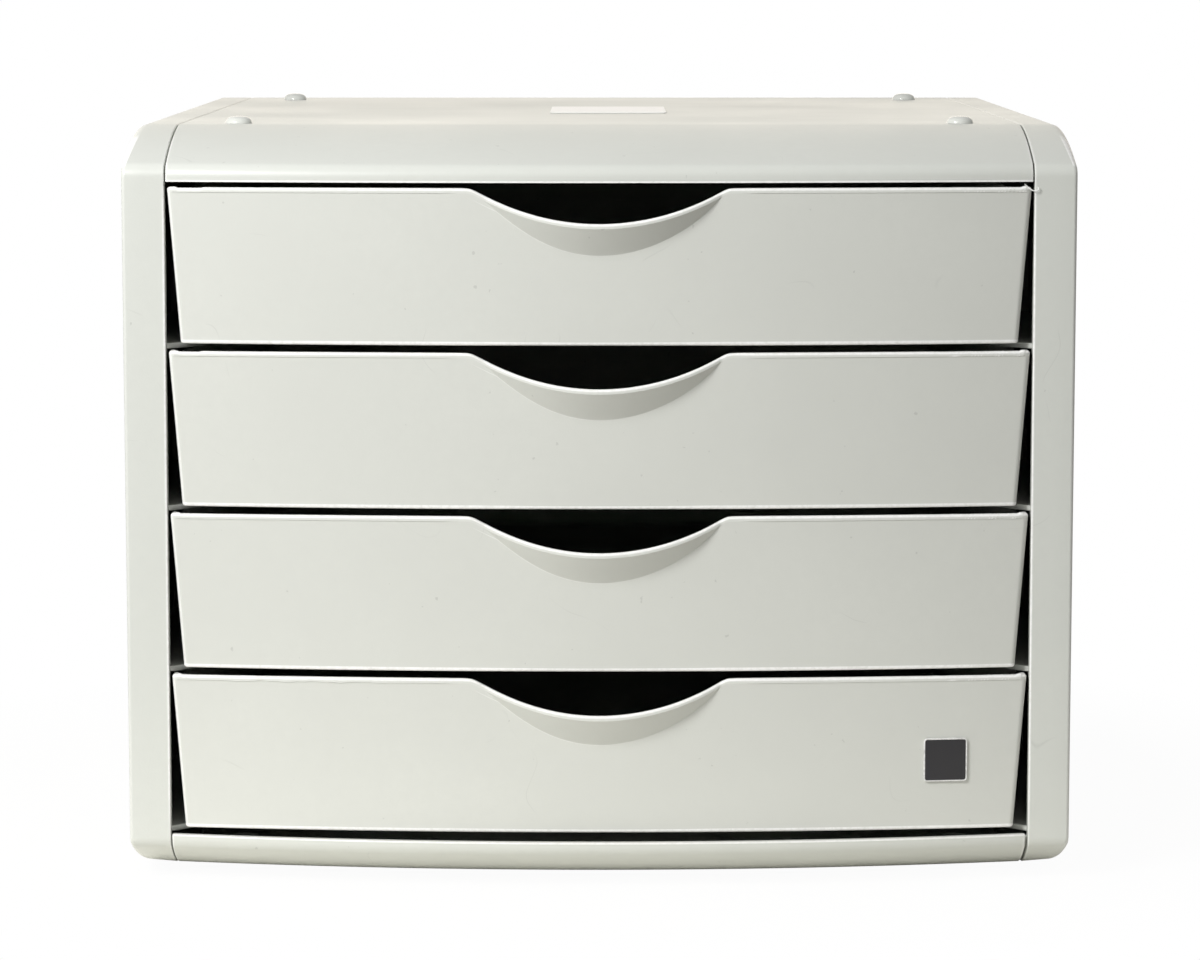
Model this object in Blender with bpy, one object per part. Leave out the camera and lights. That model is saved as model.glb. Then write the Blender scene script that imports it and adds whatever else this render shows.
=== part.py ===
"""Desktop file drawer: a letter-size box with four trays, moulded in one light warm-grey plastic.

Metres, +Z up, +X to the right as seen from the front, +Y towards the rear. The origin lies on the table,
under the middle of the box. Drawer 1 is the top one. Each drawer slides out along -Y on ledges that are
moulded on the side panels, until its stop tabs meet the panels' front strips.
"""

import math

import bmesh
import bpy
from mathutils import Matrix, Vector

# Housing
WIDTH = 0.292
DEPTH = 0.355
SIDE_WIDTH = 0.0135
SIDE_WALL = 0.0024
SHELL_WALL = 0.0022
SEAM = 0.0003
RAIL_WALL = 0.0018
RAIL_REACH = 0.005
REAR_TOP_RADIUS = 0.008
REAR_BOTTOM_RADIUS = 0.006
REAR_LAND = 0.001
FRONT_EDGE_RADIUS = 0.0012
TOP_EDGE_RADIUS = 0.0055
BOTTOM_EDGE_RADIUS = 0.005

# Nose: the swept front of the roof, from its lip to its crest
NOSE_LAND = 0.0015
NOSE_RADIUS = 0.0045
NOSE_SWEEP_RADIUS = 0.164
NOSE_SLOPE = math.radians(21.0)
CREST_SLOPE = math.radians(5.5)

# Roll: the front of the base, from its lip to its flat underside
ROLL_LAND = 0.00095
ROLL_RADIUS = 0.0045
ROLL_SWEEP_RADIUS = 0.075
ROLL_SLOPE = math.radians(28.0)
KEEL_SLOPE = math.radians(4.0)
BASE_BULGE = 0.014
BULGE_RUN_OUT = 0.030

# Drawer stack
DRAWER_COUNT = 4
DRAWER_HEIGHT = 0.04775
DRAWER_GAP = 0.00225
TOP_GAP = 0.0016
BASE_GAP = 0.0022
TRAVEL = 0.26

# Drawer tray
TRAY_SIDE_GAP = 0.0008
TRAY_REAR_GAP = 0.010
TRAY_TAPER = 0.0038
TRAY_WALL = 0.0022
TRAY_FLOOR = 0.002
TRAY_BULGE = 0.009
TRAY_FOOT_RADIUS = 0.0015
TRAY_INNER_FILLET = 0.002
FRONT_CORNER_RADIUS = 0.0015
REAR_CORNER_RADIUS = 0.010
LEAST_CORNER_RADIUS = 0.0004
SIDE_RIM_DROP = 0.00325
RIM_STEP_START = 0.005
RIM_STEP_LENGTH = 0.008
RIM_BAND = 0.003

# Finger scoop in the drawer front, and the lip that flares out under it
SCOOP_HALF_WIDTH = 0.039
SCOOP_DEPTH = 0.0105
SCOOP_SHOULDER = 0.0012
LIP_HEIGHT_PER_DROP = 0.95
FLARE_SLOPE = 0.78

# Runner ledges on the side panels
LEDGE_THICKNESS = 0.0016
LEDGE_REACH = 0.012
LEDGE_SETBACK = 0.0015
LEDGE_SLANT = 0.019
RUNNING_GAP = 0.0003

# Stiffening ribs under the roof and inside the side panels
RIB_WALL = 0.0012
ROOF_RIB_DEPTH = 0.004
ROOF_RIB_COUNT = 3
ROOF_RIB_END_GAP = 0.001
PANEL_RIB_DEPTH = 0.0028
PANEL_RIB_COUNT = 4

# Stop tabs on the tray sides
TAB_REACH = 0.004
TAB_HEIGHT = 0.009
TAB_LENGTH = 0.006
TAB_BELOW_RIM = 0.001
STOP_GAP = 0.0003

# Push-in stacking studs, the sockets that take the studs of a box below, and rubber feet
STUD_SIDE_INSET = 0.0185
STUD_FRONT = 0.056
STUD_REAR_INSET = 0.035
STUD_RADIUS = 0.0042
STUD_HEIGHT = 0.002
SOCKET_CLEARANCE = 0.0008
FOOT_SIDE_INSET = 0.0185
FOOT_FRONT = 0.040
FOOT_REAR_INSET = 0.017
FOOT_RADIUS = 0.006
FOOT_HEIGHT = 0.0015
FOOT_EDGE = 0.0004
PLUG_RADIUS = 0.002
PLUG_CLEARANCE = 0.0003
BARB_RADIUS = 0.0029
BARB_TIP_RADIUS = 0.0014
BARB_HEIGHT = 0.002

# Badge plate on the bottom drawer and blank label on the roof
BADGE_SIZE = 0.0129
BADGE_THICKNESS = 0.0008
BADGE_SIDE_INSET = 0.0264
BADGE_BELOW_TOP = 0.026
BADGE_BEVEL = 0.0002
LABEL_WIDTH = 0.0394
LABEL_LENGTH = 0.067
LABEL_THICKNESS = 0.0002
LABEL_X = 0.003
LABEL_FRONT = 0.156
FILM_GAP = 0.0001
PANEL_BEVEL = 0.0003
CUT_OVERRUN = 0.002

# How finely curved stretches are cut
ARC_STEPS = 4
SWEEP_STEPS = 6
EDGE_STEPS = 3
SPAN_STEPS = 18
SCOOP_STEPS = 20
FLANK_STEPS = 4
CORNER_STEPS = 3
FILLET_STEPS = 2
TURN_STEPS = 16
MERGE_SHARE = 0.01

GREY = (0.66, 0.67, 0.62)
DARK = (0.05, 0.05, 0.055)
WHITE = (0.90, 0.90, 0.88)
RUBBER = (0.10, 0.10, 0.10)

HALF_WIDTH = WIDTH / 2
INNER_HALF = HALF_WIDTH - SIDE_WIDTH
SEAT = SHELL_WALL + SEAM
STRIP_DEPTH = SEAT + RAIL_WALL
PITCH = DRAWER_HEIGHT + DRAWER_GAP
TRAY_HALF = INNER_HALF - TRAY_SIDE_GAP
TRAY_LENGTH = DEPTH - TRAY_REAR_GAP
DRAFT = TRAY_TAPER / DRAWER_HEIGHT
RIM_RADIUS = TRAY_WALL / 2
STUD_HALF_SPACING = INNER_HALF - STUD_SIDE_INSET
FOOT_HALF_SPACING = INNER_HALF - FOOT_SIDE_INSET
STUD_REAR = DEPTH - STUD_REAR_INSET
FOOT_REAR = DEPTH - FOOT_REAR_INSET
BADGE_X = TRAY_HALF - BADGE_SIDE_INSET
MERGE = SEAM * MERGE_SHARE


def clear_scene():
    for thing in list(bpy.data.objects):
        bpy.data.objects.remove(thing, do_unlink=True)


# Curves


def steps(start, end, count):
    """Evenly spaced values from start to end, both included."""
    return [start + (end - start) * i / count for i in range(count + 1)]


def arc_bulge(x, half_chord, sagitta):
    """Height of a flat circular arc over its chord, at a distance x from the middle."""
    radius = (half_chord**2 + sagitta**2) / (2 * sagitta)
    return math.sqrt(max(radius**2 - x**2, 0)) - (radius - sagitta)


def front_sweep(land, radius, sweep_radius, slope, end_slope):
    """Depth and rise from a lip: a straight land, a tight arc, then a long arc that ends nearly level."""
    points = [(0.0, 0.0)]
    for angle in steps(0, math.pi / 2 - slope, ARC_STEPS):
        points.append((radius * (1 - math.cos(angle)), land + radius * math.sin(angle)))
    depth, rise = points[-1]
    for angle in steps(slope, end_slope, SWEEP_STEPS)[1:]:
        along = sweep_radius * (math.sin(slope) - math.sin(angle))
        up = sweep_radius * (math.cos(angle) - math.cos(slope))
        points.append((depth + along, rise + up))
    return points


NOSE = front_sweep(NOSE_LAND, NOSE_RADIUS, NOSE_SWEEP_RADIUS, NOSE_SLOPE, CREST_SLOPE)
ROLL = front_sweep(ROLL_LAND, ROLL_RADIUS, ROLL_SWEEP_RADIUS, ROLL_SLOPE, KEEL_SLOPE)
NOSE_DEPTH, NOSE_HEIGHT = NOSE[-1]
ROLL_DEPTH, ROLL_HEIGHT = ROLL[-1]

BOTTOM = FOOT_HEIGHT
BASE_LIP = BOTTOM + ROLL_HEIGHT
STACK_BOTTOM = BASE_LIP + BASE_GAP
STACK_TOP = STACK_BOTTOM + DRAWER_COUNT * PITCH - DRAWER_GAP
COVER_LIP = STACK_TOP + TOP_GAP
TOP = COVER_LIP + NOSE_HEIGHT


def drawer_floor(number):
    """Height of the underside of a drawer, counted from the top one."""
    return STACK_BOTTOM + (DRAWER_COUNT - number) * PITCH


def rear_arc(radius, height, side):
    """A quarter turn from the rear face to the roof (side 1) or underside (side -1), with a short land."""
    centre_y = DEPTH - radius
    centre_z = height - side * radius
    turn = [
        (centre_y + radius * math.cos(a), centre_z + side * radius * math.sin(a))
        for a in steps(0, math.pi / 2, ARC_STEPS)
    ]
    return [(DEPTH, centre_z - side * REAR_LAND)] + turn


def cover_profile():
    """Outer line of the roof in side view: lip, nose, flat top, rear corner."""
    nose = [(depth, COVER_LIP + rise) for depth, rise in NOSE]
    return nose + rear_arc(REAR_TOP_RADIUS, TOP, 1)[::-1]


def base_profile():
    """Outer line of the base in side view: rear corner, flat underside, roll, lip."""
    roll = [(depth, BASE_LIP - rise) for depth, rise in ROLL]
    return rear_arc(REAR_BOTTOM_RADIUS, BOTTOM, -1) + roll[::-1]


def offset_line(points, distances, closed):
    """Moves each point of a line that runs clockwise inwards by its own distance, mitred at the corners."""
    count = len(points)
    moved = []
    for i, (y, z) in enumerate(points):
        before = points[i - 1] if closed or i else None
        after = points[(i + 1) % count] if closed or i < count - 1 else None
        tangents = []
        if before is not None:
            tangents.append(Vector((y - before[0], z - before[1])).normalized())
        if after is not None:
            tangents.append(Vector((after[0] - y, after[1] - z)).normalized())
        mean = sum(tangents, Vector((0, 0))).normalized()
        stretch = distances[i] / max(mean.dot(tangents[0]), math.sqrt(0.5))
        moved.append((y + mean.y * stretch, z - mean.x * stretch))
    return moved


# Meshes


def loft(rings):
    """A closed skin over rings of equally many points, capped at both ends."""
    bm = bmesh.new()
    loops = [[bm.verts.new(point) for point in ring] for ring in rings]
    count = len(rings[0])
    for lower, upper in zip(loops, loops[1:]):
        for i in range(count):
            j = (i + 1) % count
            bm.faces.new((lower[i], lower[j], upper[j], upper[i]))
    bm.faces.new(loops[0][::-1])
    bm.faces.new(loops[-1])
    return bm


def revolve(profile):
    """A turned solid from points (radius, height), whose first and last points lie on the Z axis."""
    bm = bmesh.new()
    verts = [bm.verts.new((radius, 0, height)) for radius, height in profile]
    edges = [bm.edges.new(pair) for pair in zip(verts, verts[1:])]
    bmesh.ops.spin(
        bm,
        geom=verts + edges,
        cent=(0, 0, 0),
        axis=(0, 0, 1),
        angle=2 * math.pi,
        steps=TURN_STEPS,
    )
    return bm


def prism(outline, direction):
    """A flat outline pushed along a direction."""
    bm = bmesh.new()
    face = bm.faces.new([bm.verts.new(point) for point in outline])
    pushed = bmesh.ops.extrude_face_region(bm, geom=[face])
    moved = [v for v in pushed["geom"] if isinstance(v, bmesh.types.BMVert)]
    bmesh.ops.translate(bm, verts=moved, vec=direction)
    return bm


def box(low, high):
    x0, y0, z0 = low
    x1, y1, z1 = high
    return prism([(x0, y0, z0), (x1, y0, z0), (x1, y1, z0), (x0, y1, z0)], (0, 0, z1 - z0))


def material(name, colour, roughness):
    made = bpy.data.materials.new(name)
    made.use_nodes = True
    shader = made.node_tree.nodes["Principled BSDF"]
    shader.inputs["Base Color"].default_value = (*colour, 1)
    shader.inputs["Roughness"].default_value = roughness
    shader.inputs["Metallic"].default_value = 0
    made.diffuse_color = (*colour, 1)
    return made


def add_object(name, bm, location=(0, 0, 0), turn=0.0):
    """Puts a bmesh into the scene as one closed object with outward faces."""
    bmesh.ops.remove_doubles(bm, verts=bm.verts, dist=MERGE)
    bmesh.ops.recalc_face_normals(bm, faces=bm.faces)
    mesh = bpy.data.meshes.new(name)
    bm.to_mesh(mesh)
    bm.free()
    made = bpy.data.objects.new(name, mesh)
    made.location = location
    made.rotation_euler = (0, 0, turn)
    bpy.context.scene.collection.objects.link(made)
    return made


def finish(made, colour, roughness, smooth_angle=35.0):
    made.data.materials.append(material(made.name + "_finish", colour, roughness))
    made.data.shade_smooth()
    made.data.set_sharp_from_angle(angle=math.radians(smooth_angle))
    return made


def combine(target, name, bm, operation):
    """Joins or cuts a target with another solid, which stays in the scene as a guide."""
    guide = add_object(name, bm)
    guide.location = target.location
    guide.hide_render = True
    guide.display_type = "WIRE"
    boolean = target.modifiers.new(name, "BOOLEAN")
    boolean.operation = operation
    boolean.solver = "EXACT"
    boolean.object = guide


def bevelled(made, width, segments=1):
    bevel = made.modifiers.new("edge", "BEVEL")
    bevel.width = width
    bevel.segments = segments
    return made


def merged(solids):
    """One bmesh that holds several separate solids."""
    whole = bmesh.new()
    for bm in solids:
        scratch = bpy.data.meshes.new("scratch")
        bm.to_mesh(scratch)
        bm.free()
        whole.from_mesh(scratch)
        bpy.data.meshes.remove(scratch)
    return whole


# Drawer front


def scoop_drop(x):
    """How far the rim of the front dips for the fingers: a circular arc with softened shoulders."""
    radius = (SCOOP_HALF_WIDTH**2 + SCOOP_DEPTH**2) / (2 * SCOOP_DEPTH)
    if abs(x) >= radius:
        return 0.0
    dip = arc_bulge(x, SCOOP_HALF_WIDTH, SCOOP_DEPTH)
    return (dip + math.hypot(dip, SCOOP_SHOULDER)) / 2


def lip_height(x):
    """Height of the flared lip under the rim."""
    return LIP_HEIGHT_PER_DROP * scoop_drop(x)


def front_y(x, height, inset):
    """Depth of the drawer front: bulged in plan, and leaning out above the foot of the flared lip."""
    above_foot = height - (DRAWER_HEIGHT - scoop_drop(x) - lip_height(x))
    return inset - arc_bulge(x, TRAY_HALF, TRAY_BULGE) - FLARE_SLOPE * max(above_foot, 0)


def rim_turn():
    """Inset and rise of the points of the rounded rim, from its outer to its inner edge."""
    angles = steps(0, math.pi, ARC_STEPS)
    return [(RIM_RADIUS * (1 - math.cos(a)), RIM_RADIUS * math.sin(a)) for a in angles]


def lip_reach():
    """How far the flared lip stands before the front plane of the side panels."""
    rim = DRAWER_HEIGHT - scoop_drop(0) - RIM_RADIUS
    return max(-front_y(0, rim + rise, inset) for inset, rise in rim_turn())


FRONT_PLANE = (lip_reach() - DEPTH) / 2


# Drawer tray


def scoop_stations():
    """Places across the front, as shares of its half width, close together in the scoop."""
    edge = (SCOOP_HALF_WIDTH + 2 * SCOOP_SHOULDER) / TRAY_HALF
    flank = steps(edge, 1, FLANK_STEPS)[1:]
    return [-s for s in flank[::-1]] + steps(-edge, edge, SCOOP_STEPS) + flank


def corner(cx, cy, radius, start, end):
    return [(cx + radius * math.cos(a), cy + radius * math.sin(a)) for a in steps(start, end, CORNER_STEPS)]


def tray_plan(inset):
    """Stations round the tray wall at the rim, anticlockwise. Along the front, y is left to front_y."""
    half = TRAY_HALF - inset
    front_radius = max(FRONT_CORNER_RADIUS - inset, LEAST_CORNER_RADIUS)
    rear_radius = REAR_CORNER_RADIUS - inset
    cx = half - front_radius
    cy = front_y(cx, 0, inset) + front_radius
    quarter = math.pi / 2
    right = corner(cx, cy, front_radius, -quarter, 0)[1:]
    right += [(half, RIM_STEP_START), (half, RIM_STEP_START + RIM_STEP_LENGTH)]
    right += corner(half - rear_radius, TRAY_LENGTH - inset - rear_radius, rear_radius, 0, quarter)
    left = [(-x, y) for x, y in right[::-1]]
    return [(s * cx, None) for s in scoop_stations()] + right + left


def rim_height(x, y):
    """Height of the rim: scooped along the front, then stepped down to clear the ledges along the sides."""
    if y is None:
        return DRAWER_HEIGHT - scoop_drop(x)
    share = min(max((y - RIM_STEP_START) / RIM_STEP_LENGTH, 0), 1)
    return DRAWER_HEIGHT - SIDE_RIM_DROP * share


def tray_ring(inset, level):
    """One ring of the tray skin, at a level counted from the rim, drawn in by the draft towards the floor."""
    ring = []
    for x, y in tray_plan(inset):
        height = level(x, rim_height(x, y))
        drawn_in = DRAFT * (DRAWER_HEIGHT - height)
        if y is None:
            y = front_y(x, height, inset)
        share = max(y / TRAY_LENGTH, 0)
        ring.append((x * (1 - drawn_in / TRAY_HALF), y - drawn_in * share, height))
    return ring


def tray_skin():
    """Rings from the underside up the outer wall, over the rim and down to the floor inside."""
    quarter_turn = [(1 - math.cos(a), 1 - math.sin(a)) for a in steps(0, math.pi / 2, FILLET_STEPS)]
    rings = []
    for inset_share, rise_share in quarter_turn[::-1]:
        rise = TRAY_FOOT_RADIUS * rise_share
        rings.append(tray_ring(TRAY_FOOT_RADIUS * inset_share, lambda x, rim, rise=rise: rise))
    rings.append(tray_ring(0, lip_foot))
    for inset, rise in rim_turn():
        rings.append(tray_ring(inset, lambda x, rim, rise=rise: rim - RIM_RADIUS + rise))
    rings.append(tray_ring(TRAY_WALL, lip_foot))
    for inset_share, rise_share in quarter_turn:
        inset = TRAY_WALL + TRAY_INNER_FILLET * inset_share
        rise = TRAY_FLOOR + TRAY_INNER_FILLET * rise_share
        rings.append(tray_ring(inset, lambda x, rim, rise=rise: rise))
    return loft(rings)


def lip_foot(x, rim):
    """Height at which the flared lip leaves the flat of the front."""
    return rim - max(lip_height(x), RIM_BAND)


def stop_tab(side):
    """A tab on the tray side with a sloped underside, which meets the front strip at full travel."""
    top = DRAWER_HEIGHT - SIDE_RIM_DROP - TAB_BELOW_RIM
    low = top - TAB_HEIGHT
    wall = TRAY_HALF - DRAFT * (DRAWER_HEIGHT - low)
    root = wall - TRAY_WALL / 2
    tip = wall + TAB_REACH
    start = STRIP_DEPTH + TRAVEL + STOP_GAP
    outline = [(root, low), (wall, low), (tip, low + TAB_REACH), (tip, top), (root, top)]
    return prism([(side * x, start, z) for x, z in outline], (0, TAB_LENGTH, 0))


def make_drawer(number):
    name = f"drawer_{number}"
    drawer = add_object(name, tray_skin(), (0, FRONT_PLANE, drawer_floor(number)))
    combine(drawer, name + "_stop_tabs", merged([stop_tab(1), stop_tab(-1)]), "UNION")
    finish(drawer, GREY, 0.5)


# Side panels


def side_outline():
    """Outline of a side panel in side view, clockwise seen from +X: nose, top, rear, underside, roll."""
    nose = cover_profile()[1:]
    roll = base_profile()[:-1]
    return nose + roll


def edge_radius(y, z):
    """Rounding of the panel's outer edge: tight down the front, generous along the top."""
    middle = (BASE_LIP + COVER_LIP) / 2
    reach = NOSE_DEPTH if z > middle else ROLL_DEPTH
    full = TOP_EDGE_RADIUS if z > middle else BOTTOM_EDGE_RADIUS
    share = min(y / reach, 1)
    return FRONT_EDGE_RADIUS + (full - FRONT_EDGE_RADIUS) * math.sqrt(share)


def side_skin(side):
    """Rings from the inner face of the wall, over the seat rail and the seam, round the outer edge."""
    outline = side_outline()
    count = len(outline)
    radii = [edge_radius(y, z) for y, z in outline]
    has_rail = [y > 0 for y, z in outline]
    rail_x = [INNER_HALF - (RAIL_REACH if rail else 0) for rail in has_rail]

    def ring(x_values, distances):
        line = offset_line(outline, distances, True)
        return [(side * x, FRONT_PLANE + y, z) for x, (y, z) in zip(x_values, line)]

    deep = [STRIP_DEPTH] * count
    seat = [SEAT] * count
    rings = [
        ring([HALF_WIDTH - SIDE_WALL] * count, deep),
        ring(rail_x, deep),
        ring(rail_x, seat),
        ring([INNER_HALF] * count, seat),
        ring([INNER_HALF] * count, [0] * count),
    ]
    for angle in steps(0, math.pi / 2, EDGE_STEPS):
        x_values = [HALF_WIDTH - r * (1 - math.sin(angle)) for r in radii]
        rings.append(ring(x_values, [r * (1 - math.cos(angle)) for r in radii]))
    return loft(rings)


def ledge(side, number):
    """A runner ledge under one drawer, its front corner slanted back in plan."""
    top = drawer_floor(number) - RUNNING_GAP
    root = HALF_WIDTH - SIDE_WALL / 2
    tip = INNER_HALF - LEDGE_REACH
    start = FRONT_PLANE + LEDGE_SETBACK
    end = FRONT_PLANE + DEPTH - SEAT - RAIL_WALL / 2
    outline = [(root, start), (INNER_HALF, start), (tip, start + LEDGE_SLANT), (tip, end), (root, end)]
    return prism([(side * x, y, top) for x, y in outline], (0, 0, -LEDGE_THICKNESS))


def panel_ribs(side):
    """Upright ribs on the inner face of a side panel, spaced evenly between its front and rear walls."""
    root = HALF_WIDTH - SIDE_WALL / 2
    tip = HALF_WIDTH - SIDE_WALL - PANEL_RIB_DEPTH
    low = BOTTOM + STRIP_DEPTH - RAIL_WALL / 2
    high = TOP - STRIP_DEPTH + RAIL_WALL / 2
    ribs = []
    for y in steps(NOSE_DEPTH, DEPTH - NOSE_DEPTH, PANEL_RIB_COUNT - 1):
        start = FRONT_PLANE + y
        outline = [(root, low), (tip, low), (tip, high), (root, high)]
        ribs.append(prism([(side * x, start, z) for x, z in outline], (0, RIB_WALL, 0)))
    return merged(ribs)


def make_side_panel(name, side):
    panel = add_object(name, side_skin(side))
    ledges = [ledge(side, number) for number in range(1, DRAWER_COUNT + 1)]
    combine(panel, name + "_ledges", merged(ledges), "UNION")
    combine(panel, name + "_ribs", panel_ribs(side), "UNION")
    finish(panel, GREY, 0.5)


# Roof, base and back


def shell_across(profile, bulge, full_depth, fade_depth):
    """A bent shell from side to side. It bulges forwards in plan, less and less past full_depth."""
    inner = offset_line(profile, [SHELL_WALL] * len(profile), False)
    section = profile + inner[::-1]
    half = INNER_HALF - SEAM
    rings = []
    for x in steps(-half, half, SPAN_STEPS):
        forward = arc_bulge(x, half, bulge)
        shares = [
            min(max((fade_depth - y) / (fade_depth - full_depth), 0), 1) for y, z in section
        ]
        rings.append(
            [(x, FRONT_PLANE + y - forward * s, z) for s, (y, z) in zip(shares, section)]
        )
    return loft(rings)


def round_holes(radius, half_spacing, front, rear, height):
    """Four round cutters through the roof or the base, placed in a rectangle."""
    cutters = []
    depth = SHELL_WALL + 2 * CUT_OVERRUN
    for x in (-half_spacing, half_spacing):
        for y in (front, rear):
            bm = bmesh.new()
            place = Matrix.Translation((x, FRONT_PLANE + y, height))
            bmesh.ops.create_cone(
                bm,
                cap_ends=True,
                segments=TURN_STEPS,
                radius1=radius,
                radius2=radius,
                depth=depth,
                matrix=place,
            )
            cutters.append(bm)
    return merged(cutters)


def roof_ribs():
    """Cross ribs under the roof, which end short of the side panels' seat rails."""
    half = INNER_HALF - RAIL_REACH - ROOF_RIB_END_GAP
    high = TOP - SHELL_WALL / 2
    low = TOP - SHELL_WALL - ROOF_RIB_DEPTH
    ribs = []
    for y in steps(STUD_FRONT, STUD_REAR, ROOF_RIB_COUNT + 1)[1:-1]:
        start = FRONT_PLANE + y
        ribs.append(box((-half, start, low), (half, start + RIB_WALL, high)))
    return merged(ribs)


def make_cover():
    cover = add_object("top_cover", shell_across(cover_profile(), TRAY_BULGE, 0, NOSE_DEPTH))
    combine(cover, "top_cover_ribs", roof_ribs(), "UNION")
    hole = PLUG_RADIUS + PLUG_CLEARANCE
    holes = round_holes(hole, STUD_HALF_SPACING, STUD_FRONT, STUD_REAR, TOP - SHELL_WALL / 2)
    combine(cover, "top_cover_stud_holes", holes, "DIFFERENCE")
    finish(cover, GREY, 0.5)


def make_base():
    """The base, with holes for its feet and sockets that drop over the studs of a box below."""
    fade_depth = ROLL_DEPTH + BULGE_RUN_OUT
    base = add_object("base_panel", shell_across(base_profile(), BASE_BULGE, ROLL_DEPTH, fade_depth))
    middle = BOTTOM + SHELL_WALL / 2
    hole = PLUG_RADIUS + PLUG_CLEARANCE
    holes = round_holes(hole, FOOT_HALF_SPACING, FOOT_FRONT, FOOT_REAR, middle)
    combine(base, "base_panel_foot_holes", holes, "DIFFERENCE")
    socket = STUD_RADIUS + SOCKET_CLEARANCE
    sockets = round_holes(socket, STUD_HALF_SPACING, STUD_FRONT, STUD_REAR, middle)
    combine(base, "base_panel_stud_sockets", sockets, "DIFFERENCE")
    finish(base, GREY, 0.5)


def make_back():
    half = INNER_HALF - SEAM
    low = (-half, FRONT_PLANE + DEPTH - SHELL_WALL, BOTTOM + REAR_BOTTOM_RADIUS + REAR_LAND + SEAM)
    high = (half, FRONT_PLANE + DEPTH, TOP - REAR_TOP_RADIUS - REAR_LAND - SEAM)
    back = add_object("back_panel", box(low, high))
    finish(bevelled(back, PANEL_BEVEL), GREY, 0.5)


# Plugs, badge and label


def plug_profile(head, seat_gap):
    """A turned plug: stem through the wall, barb behind it, then the head's own points."""
    shoulder = -(SHELL_WALL + 2 * seat_gap)
    barb = [(0, shoulder - BARB_HEIGHT), (BARB_TIP_RADIUS, shoulder - BARB_HEIGHT), (BARB_RADIUS, shoulder)]
    return barb + [(PLUG_RADIUS, shoulder), (PLUG_RADIUS, 0)] + head


def stud_head():
    """A flat elliptical dome."""
    angles = steps(0, math.pi / 2, ARC_STEPS)
    dome = [(STUD_RADIUS * math.cos(a), STUD_HEIGHT * math.sin(a)) for a in angles[:-1]]
    return dome + [(0, STUD_HEIGHT)]


def foot_head():
    """A flat disc with a broken edge."""
    height = FOOT_HEIGHT - PLUG_CLEARANCE
    rim = [(FOOT_RADIUS, 0), (FOOT_RADIUS, height - FOOT_EDGE), (FOOT_RADIUS - FOOT_EDGE, height)]
    return rim + [(0, height)]


def make_plugs():
    """Stacking studs on the roof, and rubber feet, which are the same plugs turned over."""
    for row, stud_y, foot_y in (("front", STUD_FRONT, FOOT_FRONT), ("rear", STUD_REAR, FOOT_REAR)):
        for hand, side in (("left", -1), ("right", 1)):
            bm = revolve(plug_profile(stud_head(), PLUG_CLEARANCE))
            place = (side * STUD_HALF_SPACING, FRONT_PLANE + stud_y, TOP + PLUG_CLEARANCE)
            finish(add_object(f"stacking_stud_{row}_{hand}", bm, place), GREY, 0.2)
            bm = revolve(plug_profile(foot_head(), PLUG_CLEARANCE))
            bmesh.ops.rotate(bm, verts=bm.verts, matrix=Matrix.Rotation(math.pi, 3, "X"))
            place = (side * FOOT_HALF_SPACING, FRONT_PLANE + foot_y, BOTTOM - PLUG_CLEARANCE)
            finish(add_object(f"rubber_foot_{row}_{hand}", bm, place), RUBBER, 0.8)


def make_badge():
    """A small bare plate that follows the turn of the bulged front."""
    half = BADGE_SIZE / 2
    near = arc_bulge(BADGE_X - half, TRAY_HALF, TRAY_BULGE)
    far = arc_bulge(BADGE_X + half, TRAY_HALF, TRAY_BULGE)
    turn = math.atan2(near - far, BADGE_SIZE)
    seat = arc_bulge(BADGE_X, TRAY_HALF, TRAY_BULGE) + FILM_GAP
    height = drawer_floor(DRAWER_COUNT) + DRAWER_HEIGHT - BADGE_BELOW_TOP
    bm = box((-half, -BADGE_THICKNESS, -half), (half, 0, half))
    badge = add_object("badge_plate", bm, (BADGE_X, FRONT_PLANE - seat, height), turn)
    finish(bevelled(badge, BADGE_BEVEL), DARK, 0.3)


def make_label():
    """A blank paper label on the roof."""
    low = (LABEL_X - LABEL_WIDTH / 2, FRONT_PLANE + LABEL_FRONT, TOP + FILM_GAP)
    high = (LABEL_X + LABEL_WIDTH / 2, low[1] + LABEL_LENGTH, low[2] + LABEL_THICKNESS)
    finish(add_object("top_label", box(low, high)), WHITE, 0.6)


def main():
    clear_scene()
    make_cover()
    make_base()
    make_back()
    make_side_panel("left_side_panel", -1)
    make_side_panel("right_side_panel", 1)
    for number in range(1, DRAWER_COUNT + 1):
        make_drawer(number)
    make_plugs()
    make_badge()
    make_label()


main()
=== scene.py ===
"""Looks of the desktop file drawer: moulded skins, finishes and a small studio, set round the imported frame.

Metres, +Z up, +X to the right as seen from the front, +Y towards the rear. Drawer 1 is the top one.
"""

from math import cos, pi, radians, sin

import bmesh
import bpy
import numpy as np
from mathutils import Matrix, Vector
from bpy.props import FloatProperty, FloatVectorProperty, PointerProperty


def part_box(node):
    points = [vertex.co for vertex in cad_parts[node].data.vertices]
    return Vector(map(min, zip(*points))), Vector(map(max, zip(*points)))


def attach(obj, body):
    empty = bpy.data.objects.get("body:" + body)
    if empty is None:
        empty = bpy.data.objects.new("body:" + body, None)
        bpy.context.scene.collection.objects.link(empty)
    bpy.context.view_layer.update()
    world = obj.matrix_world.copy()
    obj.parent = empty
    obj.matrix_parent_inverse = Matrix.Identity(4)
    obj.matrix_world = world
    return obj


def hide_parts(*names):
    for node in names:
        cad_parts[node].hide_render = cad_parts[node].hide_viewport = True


bl_info = {
    "name": "Desktop file drawer",
    "version": (1, 0, 0),
    "blender": (4, 5, 0),
    "location": "View3D > Sidebar > File drawer",
    "description": "Moulded skins, finishes and studio of a four-drawer letter box",
    "category": "Object",
}

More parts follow.
